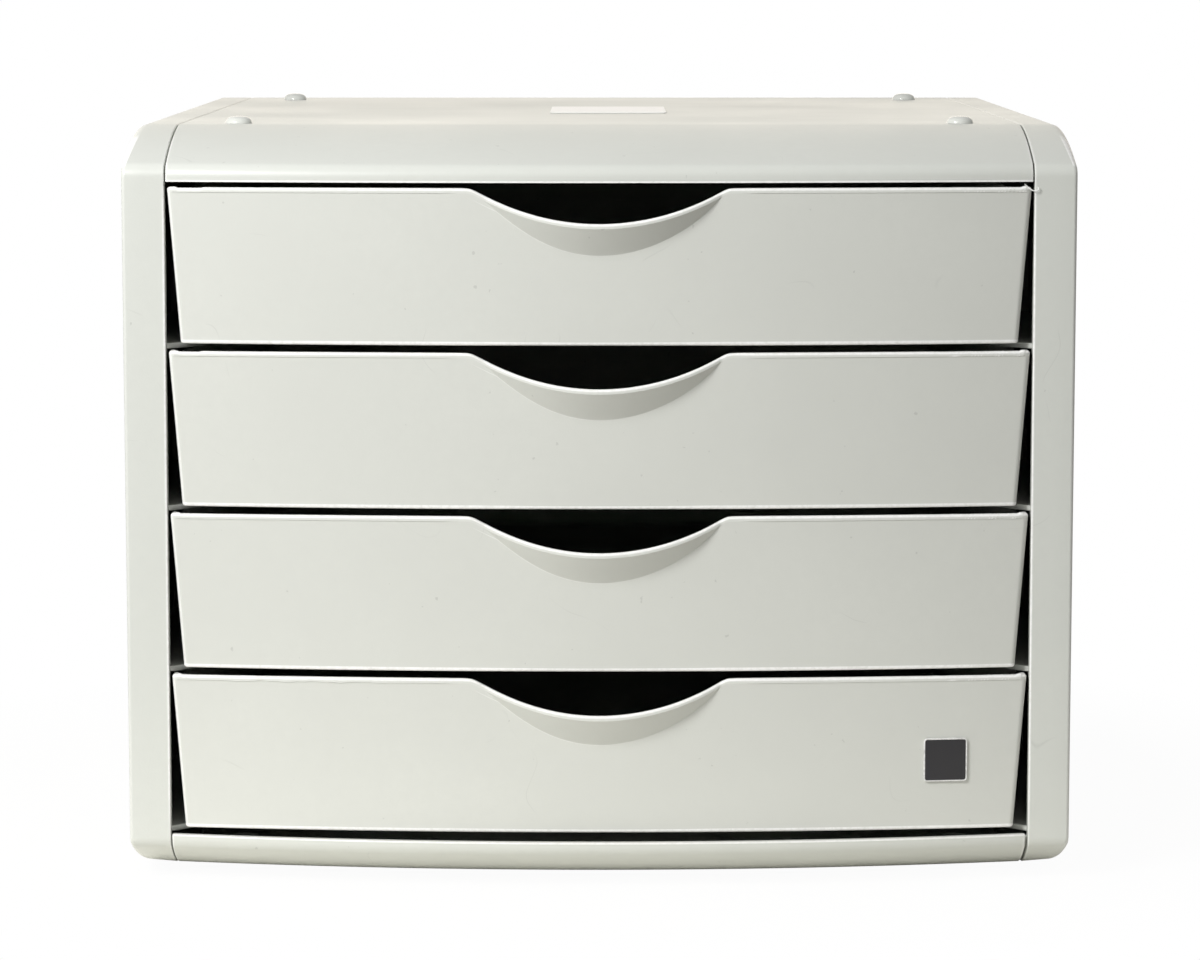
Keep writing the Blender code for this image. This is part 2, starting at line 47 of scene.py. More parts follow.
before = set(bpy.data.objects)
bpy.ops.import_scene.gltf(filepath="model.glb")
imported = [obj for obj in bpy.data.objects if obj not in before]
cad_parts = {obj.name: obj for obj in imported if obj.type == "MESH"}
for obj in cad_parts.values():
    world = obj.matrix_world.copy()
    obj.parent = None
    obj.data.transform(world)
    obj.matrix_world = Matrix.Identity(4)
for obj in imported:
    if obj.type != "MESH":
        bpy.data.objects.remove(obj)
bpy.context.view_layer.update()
SIDE_LOW, SIDE_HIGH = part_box("right_side_panel")
COVER_LOW, COVER_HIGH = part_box("top_cover")
BASE_LOW, BASE_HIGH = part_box("base_panel")
DRAWERS = {number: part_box(f"drawer_{number}") for number in (1, 2, 3, 4)}
FRONT = SIDE_LOW.y
DEPTH = SIDE_HIGH.y - FRONT
HALF_WIDTH = SIDE_HIGH.x
TOP = COVER_HIGH.z
COVER_LIP = COVER_LOW.z
BASE_LIP = BASE_HIGH.z
BOTTOM = BASE_LOW.z
SHELL_HALF = COVER_HIGH.x
DRAWER_HEIGHT = DRAWERS[1][1].z - DRAWERS[1][0].z
TRAY_INSET = 0.0143
TRAY_HALF = HALF_WIDTH - TRAY_INSET
TRAY_LENGTH = DRAWERS[1][1].y - FRONT


def length(name, default, text):
    """A size in metres."""
    return FloatProperty(name=name, default=default, description=text, unit="LENGTH", precision=5)


def turn(name, degrees, text):
    """An angle, written in degrees."""
    return FloatProperty(name=name, default=radians(degrees), description=text, unit="ROTATION")


def share(name, default, text):
    """A number from 0 to 1."""
    return FloatProperty(name=name, default=default, min=0.0, max=1.0, description=text, subtype="FACTOR")


def factor(name, default, text):
    """A number without a unit."""
    return FloatProperty(name=name, default=default, description=text)


def spot(name, default, text):
    """A place in metres."""
    return FloatVectorProperty(
        name=name, default=default, description=text, subtype="XYZ", unit="LENGTH", size=3
    )


def colour(name, default, text):
    """A colour as linear red, green and blue."""
    return FloatVectorProperty(
        name=name, default=default, description=text, subtype="COLOR", size=3, min=0.0, max=1.0
    )


class HousingShape(bpy.types.PropertyGroup):
    """Sizes of the roof, base and side panels."""

    nose_land: length("Nose land", 0.0015, "Upright part of the roof's lip")
    nose_radius: length("Nose radius", 0.0045, "Tight bend above the roof's lip")
    nose_sweep: length("Nose sweep", 0.164, "Radius of the long curve up to the crest")
    nose_slope: turn("Nose slope", 21.0, "Slope where the long curve starts")
    crest_slope: turn("Crest slope", 5.5, "Slope left at the crest")
    roll_land: length("Roll land", 0.00095, "Upright part of the base's lip")
    roll_radius: length("Roll radius", 0.0045, "Tight bend under the base's lip")
    roll_sweep: length("Roll sweep", 0.05245, "Radius of the long curve under the base")
    roll_slope: turn("Roll slope", 34.0, "Slope where the base's long curve starts")
    keel_slope: turn("Keel slope", 4.0, "Slope left at the flat underside")
    nose_bulge: length("Nose bulge", 0.009, "How far the roof's lip bows forwards in plan")
    roll_bulge: length("Roll bulge", 0.014, "How far the base's lip bows forwards in plan")
    run_out: length("Bulge run-out", 0.030, "Flat length over which the base's bulge dies away")
    rear_top: length("Rear top radius", 0.008, "Rounding between roof and back")
    rear_bottom: length("Rear bottom radius", 0.006, "Rounding between base and back")
    rear_land: length("Rear land", 0.001, "Upright part under the rear rounding")
    wall: length("Shell wall", 0.0022, "Wall of the roof and the base")
    side_wall: length("Side wall", 0.0024, "Wall of the side panels")
    side_width: length("Side width", 0.0135, "Width of the side panels' front strips")
    strip: length("Strip depth", 0.0043, "Depth of the rim inside a side panel")
    seat: length("Seat depth", 0.0025, "Depth of the seat that carries roof and base")
    rail: length("Rail reach", 0.005, "How far the seat rail stands inwards")
    front_edge: length("Front edge", 0.0012, "Rounding of the side panels' upright outer edge")
    top_edge: length("Top edge", 0.0041, "Rounding along the roof's outer edge")
    bottom_edge: length("Bottom edge", 0.005, "Rounding along the underside's outer edge")
    keel_rise: length("Keel rise", 0.0011, "How much higher a side panel's underside is at its outer edge")
    seam: length("Seam", 0.00015, "How far roof and base stand back from the side panels")
    base_aside: length("Base aside", 0.0002, "Half of the extra seam at the base's right end")
    side_draft: length("Side draft", 0.0004, "How much further in the outer face stands at the foot")
    broken_edge: length("Broken edge", 0.0004, "Small rounding where two mouldings meet")
    socket: length("Socket radius", 0.005, "Holes in the base that drop over the studs of a box below")


class DrawerShape(bpy.types.PropertyGroup):
    """Sizes of a drawer, its finger scoop and its ledges."""

    taper: length("Taper", 0.0038, "How much narrower each side is at the floor")
    wall: length("Wall", 0.0022, "Wall of the tray")
    floor: length("Floor", 0.002, "Floor of the tray")
    bulge: length("Front bulge", 0.009, "How far the front bows forwards in plan")
    foot_radius: length("Foot radius", 0.0007, "Rounding along the lower edge")
    # The foot line is a painted highlight along the front's lower edge.
    foot_line: share("Foot line", 0.007, "Height of the painted highlight line over the foot, as a share of the front")
    rim_band: length("Rim band", 0.0015, "Height of the band along the rim")
    rim_rise: length("Rim rise", 0.0009, "Height of the rounding on the rim")
    rim_proud: length("Rim band step", 0.0002, "How far the rim's band stands out from the front")
    inner_fillet: length("Inner fillet", 0.002, "Fillet between floor and walls")
    front_corner: length("Front corner", 0.0018, "Upright corner beside the front")
    rear_corner: length("Rear corner", 0.010, "Upright corner at the rear")
    rim_drop: length("Rim drop", 0.00325, "How much lower the side rims are")
    rim_start: length("Side rim start", 0.005, "Where the side rim starts to fall")
    rim_run: length("Side rim run", 0.008, "Length over which the side rim falls")
    scoop_half: length("Scoop half width", 0.039, "Half the width of the finger scoop")
    scoop_depth: length("Scoop depth", 0.0105, "Depth of the finger scoop")
    shoulder: length("Scoop shoulder", 0.0006, "Softness of the scoop's ends")
    lip_share: factor("Lip share", 0.95, "Lip height for each metre of scoop depth")
    lip_skew: share("Lip skew", 0.4, "How much taller the lip is at the right end, and lower at the left")
    flare: factor("Flare", 0.775, "How far the lip leans out for each metre of height")
    crease: factor("Crease", 0.012, "Softness of the bend under the lip for each metre of scoop depth")
    ledge_thickness: length("Ledge thickness", 0.0016, "Thickness of a runner ledge")
    ledge_reach: length("Ledge reach", 0.012, "How far a ledge stands inwards")
    ledge_setback: length("Ledge setback", 0.004, "Start of a ledge behind the front")
    ledge_slant: length("Ledge slant", 0.019, "Length of a ledge's rounded front corner")
    running_gap: length("Running gap", 0.0003, "Air between a ledge and its drawer")


class Finishes(bpy.types.PropertyGroup):
    """Colours and surface of the mouldings."""

    shell: colour("Shell", (0.655, 0.67, 0.625), "Roof, base and side panels")
    tray: colour("Tray", (0.657, 0.667, 0.621), "Drawers")
    # Pale edge colour: real edge wear, and painted highlights along edges, rims and seams.
    wear_and_highlight: colour("Edge wear and highlight", (0.93, 0.93, 0.91), "Edge wear and painted highlights")
    shell_roughness: share("Shell roughness", 0.34, "Roughness of the textured shell")
    tray_roughness: share("Tray roughness", 0.36, "Roughness of the drawer fronts")
    grain: length("Grain", 0.00005, "Depth of the moulded grain")


class Studio(bpy.types.PropertyGroup):
    """Camera, lamp, room and floor."""

    lens: factor("Lens", 134.009, "Focal length in millimetres")
    camera_x: length("Camera X", 0.0002, "Sideways place of the camera")
    camera_distance: length("Camera distance", 1.360147, "Camera to the side panels' front")
    camera_rise: length("Camera rise", 0.064912, "Camera above the top drawer's rim")
    camera_dip: turn("Camera dip", 6.4859, "How far the camera looks down")
    key: FloatProperty(name="Key lamp", default=7.5, description="Power of the left lamp", unit="POWER")
    key_size: length("Key size", 0.3, "Edge of the square lamp")
    key_place: spot("Key place", (-0.5, -0.75, 0.62), "Where the lamp stands")
    key_target: spot("Key target", (0.0, -0.12, 0.12), "What the lamp is turned towards")
    sky: factor("Sky", 0.495, "Strength of the room's even light")
    horizon: factor("Horizon", 1.34, "Strength added low behind the box")
    floor_radius: length("Floor radius", 6.0, "Radius of the floor")
    pale_floor: colour("Pale floor", (0.97, 0.95, 0.89), "Floor that the box's front mirrors")
    far_floor: colour("Far floor", (0.2, 0.195, 0.185), "Floor further out")
    pale_reach: length("Pale reach", 0.26, "Where the pale floor starts to darken, from the middle")
    far_reach: length("Far reach", 0.44, "Where the floor has its far colour")


def ease(t):
    """Smooth step: 3t^2 - 2t^3, held at 0 and 1 outside its range."""
    t = np.clip(t, 0.0, 1.0)
    return t * t * (3.0 - 2.0 * t)


def arc_over(x, half_chord, sagitta):
    """Height of a circular arc over its chord: sqrt(R^2 - x^2) - (R - sagitta), R from chord and sagitta."""
    radius = (half_chord**2 + sagitta**2) / (2.0 * sagitta)
    return np.sqrt(np.maximum(radius**2 - x**2, 0.0)) - (radius - sagitta)


def steps(*stops):
    """Values that run evenly between stops: start, count, stop, count, stop ..."""
    values = [np.array([stops[0]], float)]
    for count, low, high in zip(stops[1::2], stops[0::2], stops[2::2]):
        values.append(np.linspace(low, high, int(count) + 1)[1:])
    return np.concatenate(values)


def normals_of(line, closed):
    """Inward unit normals of a clockwise line of points (n, 2): its tangent (a, b) turned to (b, -a)."""
    if closed:
        tangent = np.roll(line, -1, 0) - np.roll(line, 1, 0)
    else:
        tangent = np.gradient(line, axis=0)
    tangent /= np.maximum(np.linalg.norm(tangent, axis=1, keepdims=True), 1e-12)
    return np.stack([tangent[:, 1], -tangent[:, 0]], 1)


class Skin:
    """Gathers grids into one mesh. A grid has rows of points that go round, and a paleness from 0 to 1 for
    edge wear and painted highlight.
    """

    def __init__(self, points=(), wear=0.0):
        self.points, self.faces, self.wear, self.count = [], [], [], 0
        if len(points):
            self.grid(points, wear)

    def grid(self, points, wear=0.0, caps=(True, True)):
        """Quads between neighbouring rows, with caps over the first and the last row."""
        points = np.asarray(points)
        rows, cols = points.shape[:2]
        r = np.arange(rows - 1)[:, None] * cols
        c = np.arange(cols)[None, :]
        n = (c + 1) % cols
        quads = np.stack([r + c, r + n, r + cols + n, r + cols + c], -1).reshape(-1, 4) + self.count
        self.faces += quads.tolist()
        first = np.arange(cols) + self.count
        if caps[0]:
            self.faces.append(first[::-1].tolist())
        if caps[1]:
            self.faces.append((first + (rows - 1) * cols).tolist())
        self.points.append(points.reshape(-1, 3))
        self.wear.append(np.broadcast_to(np.asarray(wear, float), (rows, cols)).reshape(-1))
        self.count += rows * cols

    def box(self, low, high):
        """A plain block, for ribs and tabs."""
        (x0, y0, z0), (x1, y1, z1) = low, high
        ring = np.array([(x0, y0), (x1, y0), (x1, y1), (x0, y1)], float)
        self.grid([np.column_stack([ring, np.full(4, z)]) for z in (z0, z1)])

    def placed(self, name):
        """Makes the object from the grids, with its faces turned outwards."""
        if not self.faces:
            raise RuntimeError(f"{name} has no surface")
        mesh = bpy.data.meshes.new(name)
        mesh.from_pydata(np.concatenate(self.points).tolist(), [], self.faces)
        # Paleness per point: edge wear and painted highlights, read by the finish.
        wear_and_highlight = mesh.attributes.new("wear_and_highlight", "FLOAT", "POINT")
        wear_and_highlight.data.foreach_set("value", np.concatenate(self.wear).astype(np.float32))
        bm = bmesh.new()
        bm.from_mesh(mesh)
        bmesh.ops.recalc_face_normals(bm, faces=bm.faces)
        bm.to_mesh(mesh)
        bm.free()
        piece = bpy.data.objects.new(name, mesh)
        bpy.context.scene.collection.objects.link(piece)
        return piece

    def build(self, name, finish, body, slot, *nodes, smooth=35.0, holes=None):
        """Makes the piece, cuts its holes, ties it to its body and hides the nodes that it stands for."""
        piece = self.placed(name)
        if holes:
            cut_away(piece, holes.placed(name + "_cutter"))
        mesh = piece.data
        mesh.shade_smooth()
        mesh.set_sharp_from_angle(angle=radians(smooth))
        mesh.materials.append(finish)
        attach(piece, body)
        if nodes:
            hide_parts(*nodes)
        return piece


def cut_away(piece, cutter):
    """Takes the cutter's volume out of the piece for good."""
    cut = piece.modifiers.new("cut", "BOOLEAN")
    cut.object = cutter
    whole = len(piece.data.vertices)
    seen = piece.evaluated_get(bpy.context.evaluated_depsgraph_get())
    mesh = bpy.data.meshes.new_from_object(seen)
    if len(mesh.vertices) <= whole:
        raise RuntimeError(f"{piece.name} was not cut")
    piece.modifiers.remove(cut)
    piece.data = mesh
    mesh.name = piece.name
    bpy.data.objects.remove(cutter)


# Housing

LIP_HEIGHTS = (0.0, 0.00045, 0.0006)
LIP_HIGHLIGHT_REACH = 0.0005
EDGE_POWER = 0.65
EDGE_FADE_SHARE = 0.35
SKIN_INSET = 0.0004
RAIL_START = 0.0002
RAIL_RUN = 0.0015
KEEL_RUN = 0.0125
STRIP_RINGS = (0.0006, 0.0009, 0.004, 0.0065)
HAIR = 0.0001
# Depth over which the pale front edges (wear and painted highlight) fade out.
RUB_AND_HIGHLIGHT_DEPTH = 0.03
RUB_AND_HIGHLIGHT_FADE = 0.01
REFLECTION_RISE = 0.0045
REFLECTION_EDGE = 0.0006
REFLECTION_FADE = 0.006
LEDGE_EDGE = 0.0002
LEDGE_POWER = 0.6
LEDGE_PALENESS = 0.12
REAR_GAP = 0.0009
RIB_DEPTH = 0.0028
RIB_WALL = 0.0012
ROOF_RIB_DEPTH = 0.004
ROOF_RIB_FRONT = 0.056
ROOF_RIB_REAR = 0.035
ROOF_RIB_GAP = 0.001
END_EDGE_SHARE = 0.8
END_STATIONS = (0.0007, 0.0012)
END_REACH = 0.004


def swept_front(land, radius, sweep, slope, end_slope):
    """Depth and rise from a lip: an upright land, an arc to the slope, then a long arc to the end slope."""
    a = np.linspace(0.0, pi / 2 - slope, 14)
    bend = np.stack([radius * (1 - np.cos(a)), land + radius * np.sin(a)], 1)
    b = np.linspace(slope, end_slope, 26)[1:]
    along = bend[-1, 0] + sweep * (sin(slope) - np.sin(b))
    up = bend[-1, 1] + sweep * (np.cos(b) - cos(slope))
    tip = [[0.0, height] for height in LIP_HEIGHTS]
    return np.concatenate([tip, bend, np.stack([along, up], 1)])


def nose_line(h):
    """The roof's front: land, bend and sweep, upwards from the lip."""
    line = swept_front(h.nose_land, h.nose_radius, h.nose_sweep, h.nose_slope, h.crest_slope)
    return line + (0, COVER_LIP)


def roll_line(h):
    """The base's front: land, bend and sweep, downwards from the lip."""
    line = swept_front(h.roll_land, h.roll_radius, h.roll_sweep, h.roll_slope, h.keel_slope)
    return line * (1, -1) + (0, BASE_LIP)


def rear_turn(radius, height, side, land):
    """From roof or underside round to the upright back: a quarter circle and a short land."""
    a = np.linspace(pi / 2, 0.0, 12)
    y = DEPTH - radius + radius * np.cos(a)
    z = height - side * radius + side * radius * np.sin(a)
    return np.concatenate([np.stack([y, z], 1), [[DEPTH, z[-1] - side * land]]])


def fill(start, end, count):
    """Points between two places, both left out."""
    t = np.linspace(0.0, 1.0, count + 2)[1:-1, None]
    return np.asarray(start) * (1 - t) + np.asarray(end) * t


def cover_line(h):
    """The roof's section: nose, flat top and rear rounding."""
    nose = nose_line(h)
    rear = rear_turn(h.rear_top, TOP, 1, h.rear_land)
    return np.concatenate([nose, fill(nose[-1], rear[0], 24), rear])


def base_line(h):
    """The base's section: rear rounding, flat underside and roll."""
    roll = roll_line(h)
    rear = rear_turn(h.rear_bottom, BOTTOM, -1, h.rear_land)
    return np.concatenate([rear[::-1], fill(rear[0], roll[-1], 24), roll[::-1]])


def side_line(h):
    """The side panel's outline, clockwise: nose, roof, back, underside, roll, front."""
    cover, base = cover_line(h), base_line(h)
    back = fill(cover[-1], base[0], 10)
    front = fill(base[-1], cover[0], 14)
    return np.concatenate([cover, back, base, front])


def edge_radius(h, line):
    """Outer edge rounding: grows with a power of the depth up to the crest, then shrinks by a share."""
    upper = line[:, 1] > (BASE_LIP + COVER_LIP) / 2
    reach = np.where(upper, nose_line(h)[-1, 0], roll_line(h)[-1, 0])
    full = np.where(upper, h.top_edge, h.bottom_edge)
    beyond = np.clip((line[:, 0] - reach) / (DEPTH - reach), 0, 1)
    full = full * (1 - EDGE_FADE_SHARE * beyond)
    return h.front_edge + (full - h.front_edge) * np.clip(line[:, 0] / reach, 0, 1) ** EDGE_POWER


def side_panel(h, d, side):
    """Rings parallel to the panel's outline, from the inner wall over seat and strip to the outer face."""
    line = side_line(h)
    inward = normals_of(line, True)
    inner = HALF_WIDTH - h.side_width
    rail = inner - h.rail * ease((line[:, 0] - RAIL_START) / RAIL_RUN)
    radius = edge_radius(h, line)
    outer = HALF_WIDTH - SKIN_INSET - h.side_draft * (TOP - line[:, 1]) / TOP
    r = h.broken_edge
    rings, wear = [], []

    def ring(x, inset, wear_and_highlight=0.0):
        place = line + inward * np.broadcast_to(inset, len(line))[:, None]
        x = np.broadcast_to(x, len(line))
        rings.append(np.column_stack([side * x, FRONT + place[:, 0], place[:, 1]]))
        wear.append(np.broadcast_to(wear_and_highlight, len(line)))

    ring(HALF_WIDTH - h.side_wall, h.strip)
    ring(rail, h.strip)
    ring(rail, h.seat)
    ring(inner, h.seat)
    upright = (line[:, 0] < HAIR) & (line[:, 1] > BASE_LIP) & (line[:, 1] < COVER_LIP)
    # Painted highlight along the inner edge of the upright front strips, and a faint pale wear over the nose
    # and roll that fades with depth.
    rub_and_highlight = np.where(upright, 1.0, 0.25 * ease((RUB_AND_HIGHLIGHT_DEPTH - line[:, 0]) / RUB_AND_HIGHLIGHT_FADE))
    ring(inner, 2 * r, 0.3 * rub_and_highlight)
    for a in np.linspace(0, pi / 2, 5):
        ring(inner + r * (1 - cos(a)), r * (1 - sin(a)), rub_and_highlight)
    rise = h.keel_rise / h.side_width * ease((BASE_LIP - line[:, 1]) / KEEL_RUN)
    for x in STRIP_RINGS:
        ring(inner + x, rise * x, 0.3 * rub_and_highlight * (x == STRIP_RINGS[0]))
    # Painted reflection: a bright sliver on the outer rounding just above the roof's lip, fading towards the
    # rear.
    corner = ease((line[:, 1] - COVER_LIP - REFLECTION_RISE) / REFLECTION_EDGE)
    corner = corner * ease((RUB_AND_HIGHLIGHT_DEPTH - line[:, 0]) / REFLECTION_FADE)
    for a in np.linspace(0, pi / 2, 12):
        # 0.2 * sin(2a) paints a pale highlight along the middle of the outer rounding.
        wear_and_highlight = np.maximum(0.2 * sin(2 * a), corner * (a > 0.05))
        x = outer - radius * (1 - sin(a))
        ring(x, radius * (1 - cos(a)) + rise * (x - inner), wear_and_highlight)
    skin = Skin(rings, wear)
    for low, _ in DRAWERS.values():
        ledge(skin, h, d, side, low.z - d.running_gap)
    ribs(skin, h, side)
    return skin


def ledge(skin, h, d, side, top):
    """A runner ledge: a plan outline with a rounded slanted front corner, lofted over its thickness."""
    root = HALF_WIDTH - h.side_wall / 2
    inner = HALF_WIDTH - h.side_width
    tip = inner - d.ledge_reach
    t = np.linspace(0.0, 1.0, 16)
    start = d.ledge_setback
    slant_x = inner - d.ledge_reach * np.sin(t * pi / 2)
    slant_y = start + d.ledge_slant * (1 - np.cos(t * pi / 2)) ** LEDGE_POWER
    end = DEPTH - h.seat - REAR_GAP
    plan = np.concatenate([[[root, start]], np.stack([slant_x, slant_y], 1), [[tip, end], [root, end]]])
    centre = plan.mean(0)
    pull = (plan - centre) / np.linalg.norm(plan - centre, axis=1, keepdims=True) * LEDGE_EDGE
    low = top - d.ledge_thickness
    rows = []
    for z, tight in ((low, 1), (low + LEDGE_EDGE, 0), (top - LEDGE_EDGE, 0), (top, 1)):
        place = plan - pull * tight
        rows.append(np.column_stack([side * place[:, 0], FRONT + place[:, 1], np.full(len(plan), z)]))
    # The whole ledge is drawn a little paler.
    skin.grid(rows, LEDGE_PALENESS)


def ribs(skin, h, side):
    """Upright stiffening ribs on the inner face of a side panel."""
    root = HALF_WIDTH - h.side_wall / 2
    tip = HALF_WIDTH - h.side_wall - RIB_DEPTH
    nose = nose_line(h)[-1, 0]
    for y in np.linspace(nose, DEPTH - nose, 4):
        near, far = sorted((side * root, side * tip))
        foot, head = SIDE_LOW.z + h.strip - REAR_GAP, SIDE_HIGH.z - h.strip + REAR_GAP
        skin.box((near, FRONT + y, foot), (far, FRONT + y + RIB_WALL, head))


def bent_shell(h, line, bulge, full, fade, aside=0.0):
    """A wall swept from side to side. Its section bows forwards in plan by an arc that fades with depth."""
    inward = normals_of(line, False)
    inner = line + inward * h.wall
    section = np.concatenate([line, inner[::-1]])
    outward = -normals_of(section, True)
    r = h.broken_edge * END_EDGE_SHARE
    half = SHELL_HALF - h.seam - aside
    ends = [(half - r * (1 - sin(a)), r * (1 - cos(a))) for a in np.linspace(pi / 2, 0, 5)]
    # Painted highlight: pale ends along the seams beside the side panels, fading with depth.
    stations = [(-x, inset, 0.9) for x, inset in ends]
    stations += [(x - half, 0.0, wear_and_highlight) for x, wear_and_highlight in zip(END_STATIONS, (0.1, 0.0))]
    ends = [(-x, inset, wear_and_highlight) for x, inset, wear_and_highlight in reversed(stations)]
    stations += [(x, 0.0, 0.0) for x in np.linspace(-half + END_REACH, half - END_REACH, 72)]
    stations += ends
    lip = line[0] if line[0, 0] < line[-1, 0] else line[-1]
    # Painted highlight: a thin pale line along the lip's edge.
    near_lip = 1.0 * (np.hypot(*(section - lip).T) < LIP_HIGHLIGHT_REACH)
    rub_and_highlight = ease((RUB_AND_HIGHLIGHT_DEPTH - section[:, 0]) / RUB_AND_HIGHLIGHT_FADE)
    rows, wear = [], []
    for x, inset, wear_and_highlight in stations:
        place = section - outward * inset
        forward = arc_over(x, SHELL_HALF, bulge) * np.clip((fade - place[:, 0]) / (fade - full), 0, 1)
        depth = FRONT + place[:, 0] - forward
        rows.append(np.column_stack([np.full(len(place), x - aside), depth, place[:, 1]]))
        wear.append(np.maximum(0.5 * wear_and_highlight * rub_and_highlight, near_lip))
    return Skin(rows, wear)


# Drawers

SCOOP_REACH = 0.062
SCOOP_FADE = 0.018
CREASE_FADE_SHARE = 0.6
LEAST_CORNER = 0.0004
FRONT_SHARES = (-1, 60, -0.85, 30, -0.34, 150, 0.34, 30, 0.85, 60, 1)
SIDE_STATIONS = (0.003, 0.005, 0.007, 0.009, 0.011, 0.013, 0.016, 0.05, 0.12, 0.2, 0.28)
LEAST_LIP = 0.003
BAND_START = 0.043
BAND_RUN = 0.006
CORNER_HIGHLIGHT = 0.0009
CORNER_HIGHLIGHT_FADE = 0.0003
CORNER_HIGHLIGHT_DEPTH = 0.0008
CREASE_HIGHLIGHT_DROP = 0.002
CREASE_HIGHLIGHT_END = 0.02
CREASE_HIGHLIGHT_FADE = 0.03


def scoop_drop(d, x):
    """Dip of the rim: an arc over the scoop, joined to the straight rim by (dip + sqrt(dip^2 + s^2)) / 2."""
    dip = arc_over(x, d.scoop_half, d.scoop_depth)
    return (dip + np.hypot(dip, d.shoulder)) / 2 * ease((SCOOP_REACH - np.abs(x)) / SCOOP_FADE)


def lip_height(d, x):
    """Height of the lip: a share of the dip that grows with the cube of the way from middle to right."""
    return d.lip_share * (1 + d.lip_skew * np.clip(x / d.scoop_half, -1, 1) ** 3) * scoop_drop(d, x)


def front_depth(d, x, height, inset):
    """Depth of the front: its plan arc, less a lean that grows above the foot of the lip."""
    drop = scoop_drop(d, x)
    height = np.minimum(height, DRAWER_HEIGHT - drop - d.rim_band)
    above = height - (DRAWER_HEIGHT - drop - lip_height(d, x))
    crease = d.crease * drop * (1 - CREASE_FADE_SHARE * np.clip(x / d.scoop_half, 0, 1))
    lean = d.flare * (above + np.hypot(above, crease + 1e-6)) / 2
    return inset - arc_over(x, TRAY_HALF, d.bulge) - lean


def tray_plan(d, inset):
    """Stations round the rim, a row for each inset: front, right corner, side, rear and mirrored left."""
    half = TRAY_HALF - inset
    corner = np.maximum(d.front_corner - inset, LEAST_CORNER)
    back = d.rear_corner - inset
    cx = half - corner
    s = steps(*FRONT_SHARES)[None, :]
    a = np.linspace(-pi / 2, 0, 8)[None, 1:]
    cy = front_depth(d, cx, 0.0, inset) + corner
    right_x = [cx + corner * np.cos(a)]
    right_y = [cy + corner * np.sin(a)]
    for y in SIDE_STATIONS:
        right_x.append(half)
        right_y.append(np.full_like(half, y))
    b = np.linspace(0, pi / 2, 12)[None, :]
    right_x.append(half - back + back * np.cos(b))
    right_y.append(TRAY_LENGTH - inset - back + back * np.sin(b))
    x, y = np.concatenate(right_x, 1), np.concatenate(right_y, 1)
    front = s * cx
    xs = np.concatenate([front, x, -x[:, ::-1]], 1)
    ys = np.concatenate([np.full_like(front, np.nan), y, y[:, ::-1]], 1)
    return xs, ys


def tray_rings(d):
    """Columns: inset, fixed height, share of the rim's height, share of the lip foot's, paleness (edge wear
    and painted highlight).
    """
    rings = []
    # Painted highlight: the foot's rounding and a thin line over it are fully pale.
    for a in np.linspace(pi / 2, 0, 7):
        rings.append((d.foot_radius * (1 - cos(a)), d.foot_radius * (1 - sin(a)), 0, 0, 1))
    rings.append((0, d.foot_radius, 0, d.foot_line, 1))
    r, rise = d.wall / 2, d.rim_rise
    for t in steps(2 * d.foot_line, 1, 0.03, 12, 0.992, 1, 1.0):
        rings.append((0, d.foot_radius * (1 - t), 0, t, 0))
    for t in steps(0.025, 9, 0.985):
        rings.append((0, -d.rim_band * t, t, 1 - t, 0))
    # Pale rim: edge wear and a painted highlight on the rounded top edge, half pale on its inner side.
    rings.append((0, -d.rim_band, 1, 0, 0.15))
    for a in np.linspace(0, pi, 15):
        wear_and_highlight = 0.15 + 0.85 * ease(a / 0.4) if a < 2.2 else 0.5
        rings.append((r * (1 - cos(a)), rise * (sin(a) - 1), 1, 0, wear_and_highlight))
    for t in np.linspace(1, 0, 9)[1:]:
        rings.append((d.wall, -rise * t, t, 1 - t, 0))
    low = d.floor + d.inner_fillet
    for t in np.linspace(1, 0, 5)[1:]:
        rings.append((d.wall, low * (1 - t), 0, t, 0))
    for a in np.linspace(0, pi / 2, 6)[1:]:
        inset = d.wall + d.inner_fillet * (1 - cos(a))
        rings.append((inset, d.floor + d.inner_fillet * (1 - sin(a)), 0, 0, 0))
    return np.array(rings).T[:, :, None]


# The ragged flash on the rims: places across the front, fades and depths
FLASH_START = 0.085
FLASH_RUN = 0.03
FLASH_END = 0.003
FLASH_DEPTH = 0.0001
LOW_START = 0.1195
LOW_STEP = 0.001
LOW_FADE = 0.0006
LOW_DEPTH = 0.0002
PIP_WIDTH = 0.0034
PIP_FADE = 0.0008
PIP_HEIGHT = 0.0003
WAVE_LEFT = (-0.055, 0.02, -0.114, 0.003)
WAVE_RIGHT = (0.118, 0.004)
WAVE_DEPTH = 0.0003
FLECK_START = 0.102
FLECK_RUN = 0.006
CURL_START = (0.0026, 0.0008, 0.0011)
CURL_LENGTH = 0.0062
CURL_RADIUS = 0.00017
CURL_BOW = 0.0003
CURL_HEADING = radians(-42)
CURL_TURN = radians(190)


def ripple(x, number):
    """Uneven waves between -1 and 1: three sines whose phases differ from drawer to drawer."""
    waves = np.sin(1900 * x + number) * np.sin(2700 * x + 2.1 * number) + 0.7 * np.sin(5200 * x + number**2)
    return waves / 1.7


def flash(x, number):
    """Height of the flash: ripples near the ends, a low stretch at the left, and a pip at each corner."""
    ends = ease((np.abs(x) - FLASH_START) / FLASH_RUN) * ease((TRAY_HALF - np.abs(x)) / FLASH_END)
    low = LOW_DEPTH * ease((-LOW_START - LOW_STEP * number - x) / LOW_FADE) * (number < 3)
    pip = PIP_HEIGHT * ease((np.abs(x) - TRAY_HALF + PIP_WIDTH) / PIP_FADE)
    return pip - low - FLASH_DEPTH * np.abs(ripple(x, number)) * ends


